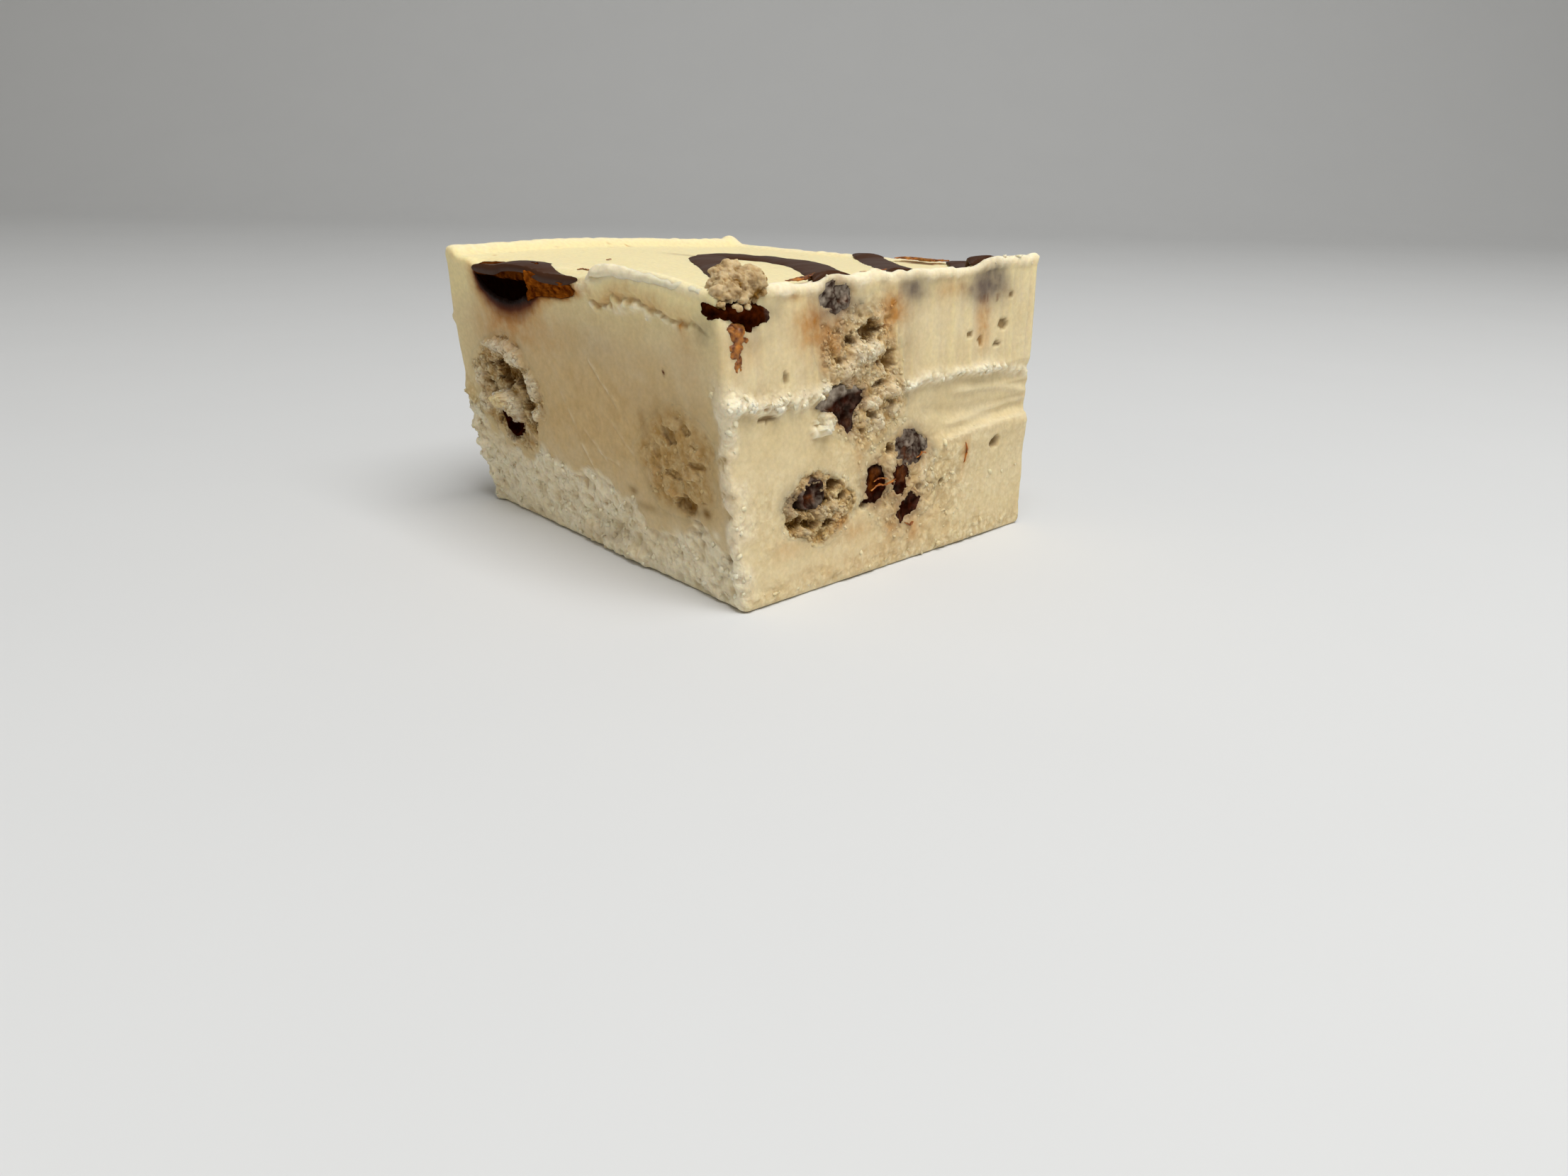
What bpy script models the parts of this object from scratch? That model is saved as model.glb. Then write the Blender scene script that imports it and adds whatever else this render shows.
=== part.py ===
"""Cookie dough fudge: one hand-cut square of pale fudge with a chocolate drizzle on top.

Lumps of cookie dough with chocolate chips lie in the fudge and show, cut through, at its
sides. Each lump is a solid of its own in a pocket of the fudge. The drizzle, the burrs that
the knife left, the crumbly base and the chips are relief of the solid that they belong to.

Run with: blender --background --python part.py
Frame: +Z up, origin at the middle of the base. -Y is the smooth front cut, +X the right cut.
"""

import itertools
import math

import bmesh
import bpy
import numpy as np

MM = 0.001

# Driving sizes, in millimetres. Box space runs from 0 to these at the left, front and base.
LENGTH = 55.0
DEPTH = 51.5
HEIGHT = 34.7
EDGE_RADIUS = 0.8
GRID_STEP = 2.1
SEAM_GAP = 0.3
SLIVER_WIDTH = 0.03

# Where the eight corners of the cut square really are, with its front right base corner at 0, 0.
# The knife leant, so the front face leans out towards its top and the right face leans in.
BASE_CORNERS = {"front left": (-56.0, 1.6), "front right": (0.0, 0.0),
                "back left": (-56.5, 45.5), "back right": (-1.5, 50.8)}
TOP_CORNERS = {"front left": (-54.5, -4.4), "front right": (-3.1, -2.0),
               "back left": (-56.3, 44.5), "back right": (-3.9, 52.5)}
LEFT_BELLY = 2.6
MIDDLE = (-29.588, 24.2)

# The poured top lies lower than the rims that the knife pulled up round it.
TOP_LEVEL = 34.05
TOP_REACH = 4.0
BACK_FALL = 1.05
LEFT_RIM = 1.1
BACK_RIM = 0.35
FRONT_CURL = 1.2
FRONT_DIP = 1.0

# The drizzle, as points along the middle of each line, from above: (from left, from front).
DRIZZLE_WIDTH = 4.2
DRIZZLE_HEIGHT = 0.4
DRIZZLE_DEPTH = 2.0
DRIZZLE_INSET = 0.35
DRIZZLE_LINES = (
    ((2.0, -4.0), (7.0, 0.6), (13.5, 2.6), (21.5, 1.9), (30.5, -3.0)),
    ((58.0, 1.0), (47.5, 8.9), (38.0, 15.4), (29.5, 20.9), (21.4, 26.4)),
    ((20.6, 25.8), (27.4, 30.2), (36.0, 28.8), (44.5, 23.8), (52.0, 18.6), (58.0, 14.2)),
    ((58.0, 24.4), (48.7, 32.6), (39.7, 40.6), (29.2, 50.2), (25.0, 54.0)),
    ((58.0, 39.0), (52.0, 44.2), (46.0, 49.4), (41.0, 54.0)),
)

# Lumps of cookie dough: face, centre on it (along, up), half sizes (along, up, inwards), seed.
DOUGH_LUMPS = {
    "dough_front_left": ("front", (10.4, 17.0), (7.9, 7.5, 6.0), 11),
    "dough_front_right": ("front", (45.4, 15.4), (6.8, 5.6, 4.5), 12),
    "dough_right_upper": ("right", (20.2, 24.2), (6.9, 7.4, 6.0), 13),
    "dough_right_lower": ("right", (12.7, 10.2), (5.2, 3.9, 4.5), 14),
    "dough_right_chips": ("right", (25.6, 10.9), (6.2, 6.1, 5.0), 15),
    "dough_back_upper": ("back", (17.5, 21.0), (7.4, 6.4, 5.5), 16),
    "dough_back_lower": ("back", (38.5, 11.5), (6.0, 4.6, 4.5), 17),
    "dough_left_middle": ("left", (19.0, 18.5), (6.6, 7.2, 5.5), 18),
}
# The crumb of dough on the front top corner, over the chip that it holds: the centre in box
# space, the half sizes and the seed of each ball that makes it up.
CORNER_BALLS = (((53.6, 4.9, 35.2), (2.2, 2.4, 2.1), 19), ((53.8, 2.6, 34.6), (1.9, 2.0, 2.0), 20),
                ((52.9, 3.6, 36.0), (1.6, 1.7, 1.5), 21), ((53.6, 4.2, 32.4), (2.1, 3.2, 1.8), 22),
                ((54.4, 2.6, 29.8), (0.8, 0.9, 1.6), 23))

# Chocolate chips that stand out of the dough: lump, place (along, up) and half sizes.
CHIPS = {
    "dough_front_left": (((9.6, 13.3), (1.6, 1.5)),),
    "dough_front_right": (),
    "dough_right_upper": (((17.0, 20.6), (2.3, 1.5)),),
    "dough_right_lower": (((11.7, 11.9), (1.4, 1.0)),),
    "dough_right_chips": (((28.1, 14.2), (1.9, 1.4)), ((26.6, 10.9), (0.9, 1.3)),
                          ((22.4, 11.0), (1.5, 2.0)), ((27.4, 7.6), (1.6, 1.2))),
    "dough_back_upper": (((15.6, 22.8), (1.9, 1.5)), ((20.4, 18.8), (1.4, 1.6))),
    "dough_back_lower": (((39.6, 11.0), (1.7, 1.3)),),
    "dough_left_middle": (((18.0, 20.4), (1.5, 1.9)), ((20.6, 15.2), (1.6, 1.2))),
}
CHIP_STANDS_OUT = 0.35
CHIP_DEPTH = 1.4

FUDGE_COLOUR = (0.76, 0.64, 0.42, 1.0)
DOUGH_COLOUR = (0.52, 0.40, 0.24, 1.0)


def lattice_noise(points, cell, seed):
    """Smooth noise from -1 to 1: one hashed value at each corner of a lattice of cubes."""
    place = points / cell
    base = np.floor(place).astype(np.int64)
    part = place - base
    part = part * part * (3 - 2 * part)
    total = np.zeros(len(points))
    for corner in itertools.product((0, 1), repeat=3):
        weight = np.prod(np.where(corner, part, 1 - part), axis=1)
        total += weight * (hashed(base + corner, seed) * 2 - 1)
    return total


def hashed(cells, seed):
    """A number from 0 to 1 for each whole-numbered cell."""
    mix = cells[:, 0] * 73856093 ^ cells[:, 1] * 19349663 ^ cells[:, 2] * 83492791
    mix = (mix ^ seed * 961748927) & 0xFFFFFFFF
    mix = (mix ^ mix >> 15) * 2246822519 & 0xFFFFFFFF
    mix = (mix ^ mix >> 13) * 3266489917 & 0xFFFFFFFF
    return ((mix ^ mix >> 16) & 0xFFFFFF) / 0xFFFFFF


def crumb_noise(points, cell, seed):
    """From 0 in the clefts to 1 at the top of each crumb: one crumb for each lattice cube."""
    place = points / cell
    base = np.floor(place).astype(np.int64)
    nearest = np.full(len(points), 9.0)
    for offset in itertools.product((-1, 0, 1), repeat=3):
        cells = base + offset
        jitter = np.stack([hashed(cells, seed + axis) for axis in range(3)], axis=1)
        nearest = np.minimum(nearest, np.linalg.norm(cells + jitter - place, axis=1))
    return np.clip(1 - nearest, 0, 1)


def ramp(values, start, end):
    """0 before start, 1 after end, smooth between them. It falls where end is below start."""
    share = np.clip((values - start) / (end - start), 0, 1)
    return share * share * (3 - 2 * share)


def mound(along, up, centre, half):
    """A round mound of height 1 over an ellipse, 0 outside it."""
    reach = ((along - centre[0]) / half[0]) ** 2 + ((up - centre[1]) / half[1]) ** 2
    return np.clip(1 - reach, 0, 1) ** 1.3


def streak(along, up, start, end, width):
    """A ridge of height 1 along a line, fading out at both ends."""
    start, end = np.array(start), np.array(end)
    run = end - start
    places = np.stack([along, up], axis=1) - start
    share = places @ run / (run @ run)
    off = np.abs(places @ np.array([-run[1], run[0]])) / np.linalg.norm(run)
    return np.exp(-((off / width) ** 2)) * ramp(share, -0.05, 0.06) * ramp(share, 1.05, 0.94)


def smooth_line(controls, steps):
    """Points on a Catmull-Rom curve through the controls."""
    ends = [controls[0], *controls, controls[-1]]
    points = []
    for index in range(len(controls) - 1):
        a, b, c, d = (np.array(ends[index + k]) for k in range(4))
        for t in np.linspace(0, 1, steps, endpoint=False):
            points.append(0.5 * (2 * b + (c - a) * t + (2 * a - 5 * b + 4 * c - d) * t ** 2
                                 + (3 * b - a - 3 * c + d) * t ** 3))
    points.append(np.array(controls[-1]))
    return np.array(points)


def front_relief(along, up, points):
    """The smooth front cut: crumbly along its base, with a curled skin under its top edge."""
    relief = 0.16 * lattice_noise(points, 9.0, 1) + 0.07 * lattice_noise(points, 3.1, 2)
    crumbly = ramp(up + 1.6 * lattice_noise(points, 5.0, 3), 10.0, 8.0)
    relief += crumbly * (0.9 * crumb_noise(points, 2.9, 4) - 0.85)
    relief += mound(along, up, (10.4, 17.0), (8.4, 8.0)) * (crumb_noise(points, 3.0, 5) - 1.1)
    relief += 1.5 * mound(along, up, (10.0, 16.4), (2.4, 1.8))
    relief -= 1.2 * mound(along, up, (10.6, 19.4), (3.4, 1.9))
    relief -= 1.3 * mound(along, up, (9.6, 13.3), (2.0, 1.8))
    relief -= 0.5 * mound(along, up, (46.2, 10.8), (3.2, 1.3))
    relief += 0.35 * mound(along, up, (48.3, 15.6), (2.2, 1.8))
    relief -= 0.55 * mound(along, up, (14.5, 31.2), (7.6, 2.8))
    relief += 0.7 * mound(along, up, (26.0, 31.6), (4.6, 1.7))
    relief -= 0.75 * mound(along, up, (40.0, 32.6), (9.5, 1.9))
    relief += 0.55 * streak(along, up, (23.0, 1.5), (37.0, 1.2), 1.6)
    relief -= 0.6 * streak(along, up, (25.0, 4.4), (37.0, 3.4), 1.1)
    return relief


def right_relief(along, up, points):
    """The right cut: lines where the knife stopped, and pits where dough broke out."""
    relief = 0.12 * lattice_noise(points, 8.0, 21) + 0.06 * lattice_noise(points, 2.6, 22)
    relief += 0.3 * ramp(up, 21.8, 23.2)
    relief += 0.55 * streak(along, up, (0.0, 23.3), (13.5, 22.7), 0.9)
    relief += 0.85 * streak(along, up, (26.0, 22.4), (51.5, 21.4), 1.0)
    relief -= 0.45 * streak(along, up, (30.0, 19.8), (51.5, 18.6), 1.5)
    relief += 0.6 * streak(along, up, (34.0, 15.3), (52.5, 15.7), 0.9)
    relief += mound(along, up, (20.2, 24.2), (7.2, 7.7)) * (0.9 * crumb_noise(points, 2.6, 23) - 0.8)
    relief -= 1.5 * mound(along, up, (20.2, 28.6), (3.6, 1.8))
    relief -= 0.9 * mound(along, up, (24.2, 25.6), (2.0, 2.3))
    relief -= 1.5 * mound(along, up, (12.3, 10.3), (5.2, 3.6))
    relief += 0.6 * mound(along, up, (13.3, 19.9), (1.8, 1.3))
    relief -= 0.5 * mound(along, up, (44.2, 12.9), (1.3, 1.2))
    crumbly = ramp(up + lattice_noise(points, 4.0, 24), 6.0, 3.0)
    return relief + crumbly * (0.4 * crumb_noise(points, 2.2, 25) - 0.32)


def rough_cut_relief(along, up, points, seed):
    """A plainer cut, for the two faces at the back: a knife line, dough lumps and a crumbly base."""
    relief = 0.14 * lattice_noise(points, 8.0, seed) + 0.06 * lattice_noise(points, 2.8, seed + 1)
    relief += 0.5 * streak(along, up, (6.0, 25.5), (48.0, 24.2), 0.9)
    relief += 0.25 * ramp(up, 23.6, 25.4)
    crumbly = ramp(up + 1.4 * lattice_noise(points, 5.0, seed + 2), 8.5, 5.0)
    return relief + crumbly * (0.6 * crumb_noise(points, 2.6, seed + 3) - 0.5)


def back_relief(along, up, points):
    relief = rough_cut_relief(along, up, points, 41)
    relief += mound(along, up, (17.5, 21.0), (7.6, 6.6)) * (0.9 * crumb_noise(points, 2.7, 45) - 0.8)
    return relief - 1.1 * mound(along, up, (38.5, 11.5), (5.6, 4.2))


def left_relief(along, up, points):
    relief = rough_cut_relief(along, up, points, 51)
    return relief + mound(along, up, (19.0, 18.5), (6.8, 7.4)) * (crumb_noise(points, 2.8, 55) - 0.95)


def top_height(from_left, from_front):
    """The height of the top at each place, with the rims, the curl and the burr on its edges."""
    places = np.stack([from_left, from_front, 0 * from_left], axis=1)
    height = TOP_LEVEL + 0.14 * lattice_noise(places, 15.0, 61)
    height -= BACK_FALL * ramp(from_front, 22.0, DEPTH) * (1 - 0.8 * ramp(from_left, 42.0, 56.0))
    height += LEFT_RIM * ramp(from_left, 3.2, 0.6) + BACK_RIM * ramp(from_front, 49.3, 51.0)
    curled = ramp(from_left, 34.0, 37.5) * ramp(from_left, 58.0, 41.0)
    height += FRONT_CURL * curled * ramp(from_front, 2.8, 0.7)
    dragged = ramp(from_left, 4.0, 8.0) * ramp(from_left, 34.0, 25.0)
    height -= FRONT_DIP * dragged * ramp(from_front, 3.6, 0.4)
    burr = 0.25 + 0.4 * ramp(from_front, 12.0, 18.0) - 0.3 * ramp(from_front, 30.0, 36.0)
    burr += 0.75 * ramp(from_front, 39.0, 42.5) + 0.25 * lattice_noise(places, 2.6, 71)
    return height + burr * ramp(from_left, 52.6, 54.4) * ramp(from_front, 4.0, 8.0)


# Each side face: its outward normal, what runs along it as seen from outside, and its relief.
SIDE_FACES = {
    "front": ((0, -1, 0), lambda p: p[:, 0], front_relief),
    "right": ((1, 0, 0), lambda p: p[:, 1], right_relief),
    "back": ((0, 1, 0), lambda p: LENGTH - p[:, 0], back_relief),
    "left": ((-1, 0, 0), lambda p: DEPTH - p[:, 1], left_relief),
}


def relief_at(points, normals):
    """How far each point of the plain block moves out, each side counting by how far it faces."""
    total = np.zeros(len(points))
    for outward, along, relief in SIDE_FACES.values():
        weight = np.clip(normals @ np.array(outward), 0, 1) ** 2
        total += weight * relief(along(points), points[:, 2], points)
    return total


def place_in_part(points):
    """From box space to the leaning, slightly bulging square that was cut, in metres."""
    u = (points[:, 0] / LENGTH)[:, None]
    v = (points[:, 1] / DEPTH)[:, None]
    w = (points[:, 2] / HEIGHT)[:, None]
    flat = np.zeros((len(points), 2))
    for corners, share in ((BASE_CORNERS, 1 - w), (TOP_CORNERS, w)):
        front = np.array(corners["front left"]) * (1 - u) + np.array(corners["front right"]) * u
        back = np.array(corners["back left"]) * (1 - u) + np.array(corners["back right"]) * u
        flat += share * (front * (1 - v) + back * v)
    flat[:, :1] -= LEFT_BELLY * np.sin(np.pi * np.clip(w, 0, 1)) * np.clip(1 - u, 0, 1) ** 2
    shift = top_height(points[:, 0], points[:, 1]) - HEIGHT
    height = points[:, 2] + shift * ramp(points[:, 2], HEIGHT - TOP_REACH, HEIGHT)
    return np.column_stack([flat - MIDDLE, height]) * MM


def grid_lines(size):
    """Where the grid cuts one side: one step for each rounded edge, even steps between them."""
    steps = round((size - 2 * EDGE_RADIUS) / GRID_STEP)
    inner = np.linspace(EDGE_RADIUS, size - EDGE_RADIUS, steps + 1)
    return np.concatenate([[0.0], inner, [size]])


def block_grid():
    """The corners and faces of a box: gridded on five sides, one flat face for its base."""
    lines = [grid_lines(size) for size in (LENGTH, DEPTH, HEIGHT)]
    last = [len(line) - 1 for line in lines]
    index, corners, faces = {}, [], []

    def corner(i, j, k):
        if (i, j, k) not in index:
            index[i, j, k] = len(corners)
            corners.append((lines[0][i], lines[1][j], lines[2][k]))
        return index[i, j, k]

    for axis, end in itertools.product(range(3), (False, True)):
        first, second = (axis + 1) % 3, (axis + 2) % 3
        is_base = axis == 2 and not end
        for a, b in itertools.product(range(last[first]), range(last[second])):
            if is_base and 0 < a < last[first] - 1 and 0 < b < last[second] - 1:
                continue
            loop = []
            for da, db in ((0, 0), (1, 0), (1, 1), (0, 1)):
                key = [0, 0, 0]
                key[axis], key[first], key[second] = last[axis] * end, a + da, b + db
                loop.append(corner(*key))
            faces.append(loop if end else loop[::-1])
    right, back = last[0] - 1, last[1] - 1
    rim = ([(1, j) for j in range(1, back)] + [(i, back) for i in range(1, right)]
           + [(right, j) for j in range(back, 1, -1)] + [(i, 1) for i in range(right, 1, -1)])
    faces.append([corner(i, j, 0) for i, j in rim])
    return np.array(corners), faces


def rounded(points):
    """The box with its edges rounded, and the direction that each point faces."""
    low = np.full(3, EDGE_RADIUS)
    high = np.array([LENGTH, DEPTH, HEIGHT]) - EDGE_RADIUS
    core = np.clip(points, low, high)
    normals = points - core
    normals /= np.linalg.norm(normals, axis=1)[:, None]
    return core + normals * EDGE_RADIUS, normals


def add_object(name, vertices, faces):
    mesh = bpy.data.meshes.new(name)
    mesh.from_pydata([tuple(v) for v in vertices], [], faces)
    obj = bpy.data.objects.new(name, mesh)
    bpy.context.scene.collection.objects.link(obj)
    return obj


def make_block(name):
    """The whole square as it was cut, before the dough lumps are parted from the fudge."""
    corners, faces = block_grid()
    points, normals = rounded(corners)
    near_base = points[:, 2] <= EDGE_RADIUS * 0.5
    moved = points + normals * relief_at(points, normals)[:, None]
    moved[near_base, 2] = points[near_base, 2]
    return add_object(name, place_in_part(moved), faces)


def ball(segments, rings):
    """A ball of radius 1 with its poles on the third axis: its corners and its faces."""
    corners, faces = [(0.0, 0.0, -1.0)], []
    for ring in range(1, rings):
        tilt = math.pi * ring / rings
        for step in range(segments):
            turn = math.tau * (step + 0.5 * (ring % 2)) / segments
            corners.append((math.sin(tilt) * math.cos(turn), math.sin(tilt) * math.sin(turn),
                            -math.cos(tilt)))
    corners.append((0.0, 0.0, 1.0))
    for step in range(segments):
        after = (step + 1) % segments
        faces.append((0, 1 + after, 1 + step))
        for ring in range(rings - 2):
            low, high = 1 + ring * segments, 1 + (ring + 1) * segments
            faces.append((low + step, low + after, high + after, high + step))
        last = 1 + (rings - 2) * segments
        faces.append((last + step, last + after, len(corners) - 1))
    return np.array(corners), faces


def face_frame(face, centre):
    """A point on a side face in box space, with the directions along it, up and outwards."""
    outward = np.array(SIDE_FACES[face][0], float)
    along = np.cross((0, 0, 1), outward)
    starts = {"front": (0, 0), "right": (LENGTH, 0), "back": (LENGTH, DEPTH), "left": (0, DEPTH)}
    origin = np.array([*starts[face], 0.0]) + along * centre[0] + np.array([0, 0, centre[1]])
    return origin, along, np.array([0.0, 0.0, 1.0]), outward


def make_lump(name, face, centre, half, seed, grow=0.0):
    """An uneven ball of dough whose middle lies in the face, so that the knife cut through it."""
    corners, faces = ball(20, 9)
    origin, along, up, outward = face_frame(face, centre)
    uneven = 1 + 0.24 * lattice_noise(corners * 1.9, 1.0, seed)
    sizes = np.array(half) * uneven[:, None] + grow
    points = (origin + along * (corners[:, :1] * sizes[:, :1])
              + up * (corners[:, 1:2] * sizes[:, 1:2])
              + outward * (corners[:, 2:] * sizes[:, 2:]))
    obj = add_object(name, place_in_part(points), faces)
    face_outwards(obj)
    return obj


def make_corner(name, grow=0.0):
    """The loose crumb on the top corner, and the chip that it holds, knobbly all round."""
    balls = []
    for centre, half, seed in CORNER_BALLS:
        corners, faces = ball(9, 7)
        uneven = 1 + 0.25 * lattice_noise(corners * 1.8, 1.0, seed)
        points = np.array(centre) + corners * (np.array(half) * uneven[:, None] + grow)
        balls.append(add_object(name, place_in_part(points), faces))
        face_outwards(balls[-1])
    combine(balls[0], balls[1:], "UNION")
    return balls[0]


def make_chip(name, face, centre, half, seed, grow=0.0):
    """A broken chocolate chip: a small many-sided lump that stands out of the cut face."""
    corners, faces = ball(8, 5)
    origin, along, up, outward = face_frame(face, centre)
    relief = SIDE_FACES[face][2]
    surface = relief(np.array([centre[0]]), np.array([centre[1]]), origin[None, :])[0]
    uneven = 1 + 0.2 * lattice_noise(corners * 1.7, 1.0, seed)
    middle = origin + outward * (surface + CHIP_STANDS_OUT - CHIP_DEPTH)
    sizes = np.array([*half, CHIP_DEPTH]) * uneven[:, None] + grow
    points = (middle + along * (corners[:, :1] * sizes[:, :1])
              + up * (corners[:, 1:2] * sizes[:, 1:2])
              + outward * (corners[:, 2:] * sizes[:, 2:]))
    obj = add_object(name, place_in_part(points), faces)
    face_outwards(obj)
    return obj


def make_drizzle(name, controls, high):
    """One line of drizzle: a low rounded strip that follows the top and is sunk into it."""
    half, deep = DRIZZLE_WIDTH / 2, DRIZZLE_DEPTH
    section = ((-half, -0.35), (-0.75 * half, 0.6 * high), (0.0, high), (0.75 * half, 0.6 * high),
               (half, -0.35), (0.6 * half, -deep), (-0.6 * half, -deep))
    line = smooth_line(controls, 5)
    ahead = np.gradient(line, axis=0)
    ahead /= np.linalg.norm(ahead, axis=1)[:, None]
    aside = np.stack([-ahead[:, 1], ahead[:, 0]], axis=1)
    count, around = len(line), len(section)
    points = np.zeros((count * around, 3))
    for spot, (across, rise) in enumerate(section):
        points[spot::around, :2] = line + aside * across
        points[spot::around, 2] = HEIGHT + rise
    faces = [[k * around + a, k * around + (a + 1) % around,
              (k + 1) * around + (a + 1) % around, (k + 1) * around + a]
             for k in range(count - 1) for a in range(around)]
    faces += [list(range(around)), [(count - 1) * around + a for a in range(around)]]
    obj = add_object(name, place_in_part(points), faces)
    face_outwards(obj)
    return obj


def make_bound(name):
    """The plain cut square, a little narrower and taller: the drizzle ends at its sides."""
    corners = np.array(list(itertools.product(
        (DRIZZLE_INSET, LENGTH - DRIZZLE_INSET), (DRIZZLE_INSET, DEPTH - DRIZZLE_INSET),
        (HEIGHT - 6.0, HEIGHT + 3.0))))
    faces = [(0, 1, 3, 2), (4, 6, 7, 5), (0, 4, 5, 1), (2, 3, 7, 6), (0, 2, 6, 4), (1, 5, 7, 3)]
    obj = add_object(name, place_in_part(corners), faces)
    face_outwards(obj)
    return obj


def face_outwards(obj):
    shape = bmesh.new()
    shape.from_mesh(obj.data)
    bmesh.ops.recalc_face_normals(shape, faces=shape.faces)
    shape.to_mesh(obj.data)
    shape.free()


def combine(obj, others, operation, solver="EXACT"):
    """Joins, cuts or keeps what obj shares with the other objects, which are then removed."""
    group = bpy.data.collections.new(obj.name + "_tools")
    bpy.context.scene.collection.children.link(group)
    for other in others:
        bpy.context.scene.collection.objects.unlink(other)
        group.objects.link(other)
    modifier = obj.modifiers.new(operation.lower(), "BOOLEAN")
    modifier.operation = operation
    modifier.solver = solver
    modifier.operand_type = "COLLECTION"
    modifier.collection = group
    bpy.context.view_layer.update()
    graph = bpy.context.evaluated_depsgraph_get()
    result = bpy.data.meshes.new_from_object(obj.evaluated_get(graph))
    obj.modifiers.clear()
    obj.data = result
    for other in others:
        bpy.data.objects.remove(other)
    bpy.data.collections.remove(group)


def drop_slivers(obj):
    """Takes away what a cut left: triangles with hardly any width, and loose specks."""
    shape = bmesh.new()
    shape.from_mesh(obj.data)
    bmesh.ops.dissolve_degenerate(shape, edges=shape.edges, dist=SLIVER_WIDTH * MM)
    bmesh.ops.triangulate(shape, faces=shape.faces)
    left, bodies = set(shape.verts), []
    while left:
        body, edge = set(), {left.pop()}
        while edge:
            body |= edge
            edge = {e.other_vert(v) for v in edge for e in v.link_edges} - body
        bodies.append(body)
        left -= body
    largest = max(bodies, key=len)
    loose = [v for v in shape.verts if v not in largest]
    bmesh.ops.delete(shape, geom=loose, context="VERTS")
    shape.to_mesh(obj.data)
    shape.free()


def make_chips(name, grow=0.0):
    """The chips of one lump."""
    face, seed = DOUGH_LUMPS[name][0], DOUGH_LUMPS[name][3]
    return [make_chip(f"chip_{number}", face, place, half, seed * 7 + number, grow)
            for number, (place, half) in enumerate(CHIPS[name])]


def make_dough(name):
    """One lump, cut flush with the block's own surface, with its chips fused on."""
    lump = make_lump(name, *DOUGH_LUMPS[name])
    combine(lump, [make_block("block_copy")], "INTERSECT", "MANIFOLD")
    if CHIPS[name]:
        combine(lump, make_chips(name), "UNION", "MANIFOLD")
    drop_slivers(lump)
    return lump


def make_fudge():
    """The square with its drizzle, and a pocket a small gap wider than each lump."""
    fudge = make_block("fudge")
    strips = [make_drizzle(f"strip_{number}", controls, DRIZZLE_HEIGHT + 0.04 * number)
              for number, controls in enumerate(DRIZZLE_LINES)]
    for strip in strips:
        combine(strip, [make_bound("bound")], "INTERSECT", "MANIFOLD")
    combine(fudge, strips, "UNION", "MANIFOLD")
    pockets = [make_corner("pocket_corner", SEAM_GAP)]
    for name, where in DOUGH_LUMPS.items():
        pockets += [make_lump("pocket", *where, SEAM_GAP), *make_chips(name, SEAM_GAP)]
    combine(fudge, pockets, "DIFFERENCE", "MANIFOLD")
    drop_slivers(fudge)
    return fudge


def finish(obj, colour, roughness):
    material = bpy.data.materials.new(obj.name)
    material.use_nodes = True
    shader = material.node_tree.nodes["Principled BSDF"]
    shader.inputs["Base Color"].default_value = colour
    shader.inputs["Roughness"].default_value = roughness
    obj.data.materials.clear()
    obj.data.materials.append(material)
    obj.data.shade_smooth()
    obj.data.set_sharp_from_angle(angle=math.radians(35))


def main():
    for obj in list(bpy.data.objects):
        bpy.data.objects.remove(obj)
    for name in DOUGH_LUMPS:
        finish(make_dough(name), DOUGH_COLOUR, 0.75)
    finish(make_corner("dough_corner"), DOUGH_COLOUR, 0.75)
    finish(make_fudge(), FUDGE_COLOUR, 0.5)


main()
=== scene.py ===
import itertools
import math
import bmesh
import bpy
import numpy as np
from mathutils import Euler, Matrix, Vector


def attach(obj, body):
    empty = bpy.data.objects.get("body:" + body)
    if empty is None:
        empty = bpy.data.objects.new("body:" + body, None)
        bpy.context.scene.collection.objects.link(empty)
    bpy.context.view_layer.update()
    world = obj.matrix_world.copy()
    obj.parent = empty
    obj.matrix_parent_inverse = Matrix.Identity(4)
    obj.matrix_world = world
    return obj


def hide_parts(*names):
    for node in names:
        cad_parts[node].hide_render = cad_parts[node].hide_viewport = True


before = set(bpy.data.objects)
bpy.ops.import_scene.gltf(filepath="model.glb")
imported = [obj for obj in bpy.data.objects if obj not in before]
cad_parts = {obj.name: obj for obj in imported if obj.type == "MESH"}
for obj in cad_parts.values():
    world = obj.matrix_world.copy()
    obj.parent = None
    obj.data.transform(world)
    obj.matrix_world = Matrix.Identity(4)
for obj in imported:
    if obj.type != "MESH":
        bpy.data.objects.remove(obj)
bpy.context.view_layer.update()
mm = 0.001

# The cut square, in millimetres. Box space runs from 0 at its left, front and base.
block = {
    "length": 55.0, "depth": 51.5, "height": 34.7,
    "edgeRadius": 0.8, "edgeSteps": 2,
    "steps": (160, 150, 108),  # how finely the three sides are gridded
    "baseCorners": {"front left": (-56.0, 1.6), "front right": (0.0, 0.0),
                    "back left": (-56.5, 45.5), "back right": (-1.5, 50.8)},
    "topCorners": {"front left": (-54.5, -4.4), "front right": (-3.1, -2.0),
                   "back left": (-56.3, 44.5), "back right": (-3.9, 52.5)},
    "leftBelly": 2.6, "rightSag": 0.75, "middle": (-29.588, 24.2),
    "pocketDepth": 4.6,  # how far the fudge falls back under each lump of dough
    "crumbRoom": ((3.2, 33.4), (3.6, 3.4)),  # centre and half sizes, on the right side
}
# Of these marks, the hollow one darkens pits, holes, clefts and ledges as painted shade, and also
# gives dough and whole chocolate their own darker brown; the pale one gives pale crumbs and flour,
# and also painted highlight on rims, ridges, grain tops and raised lumps
lookNames = ("dough", "stain", "film", "seep", "skin", "paleAndHighlight", "hollowShadeAndDark", "crumbs")


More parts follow.
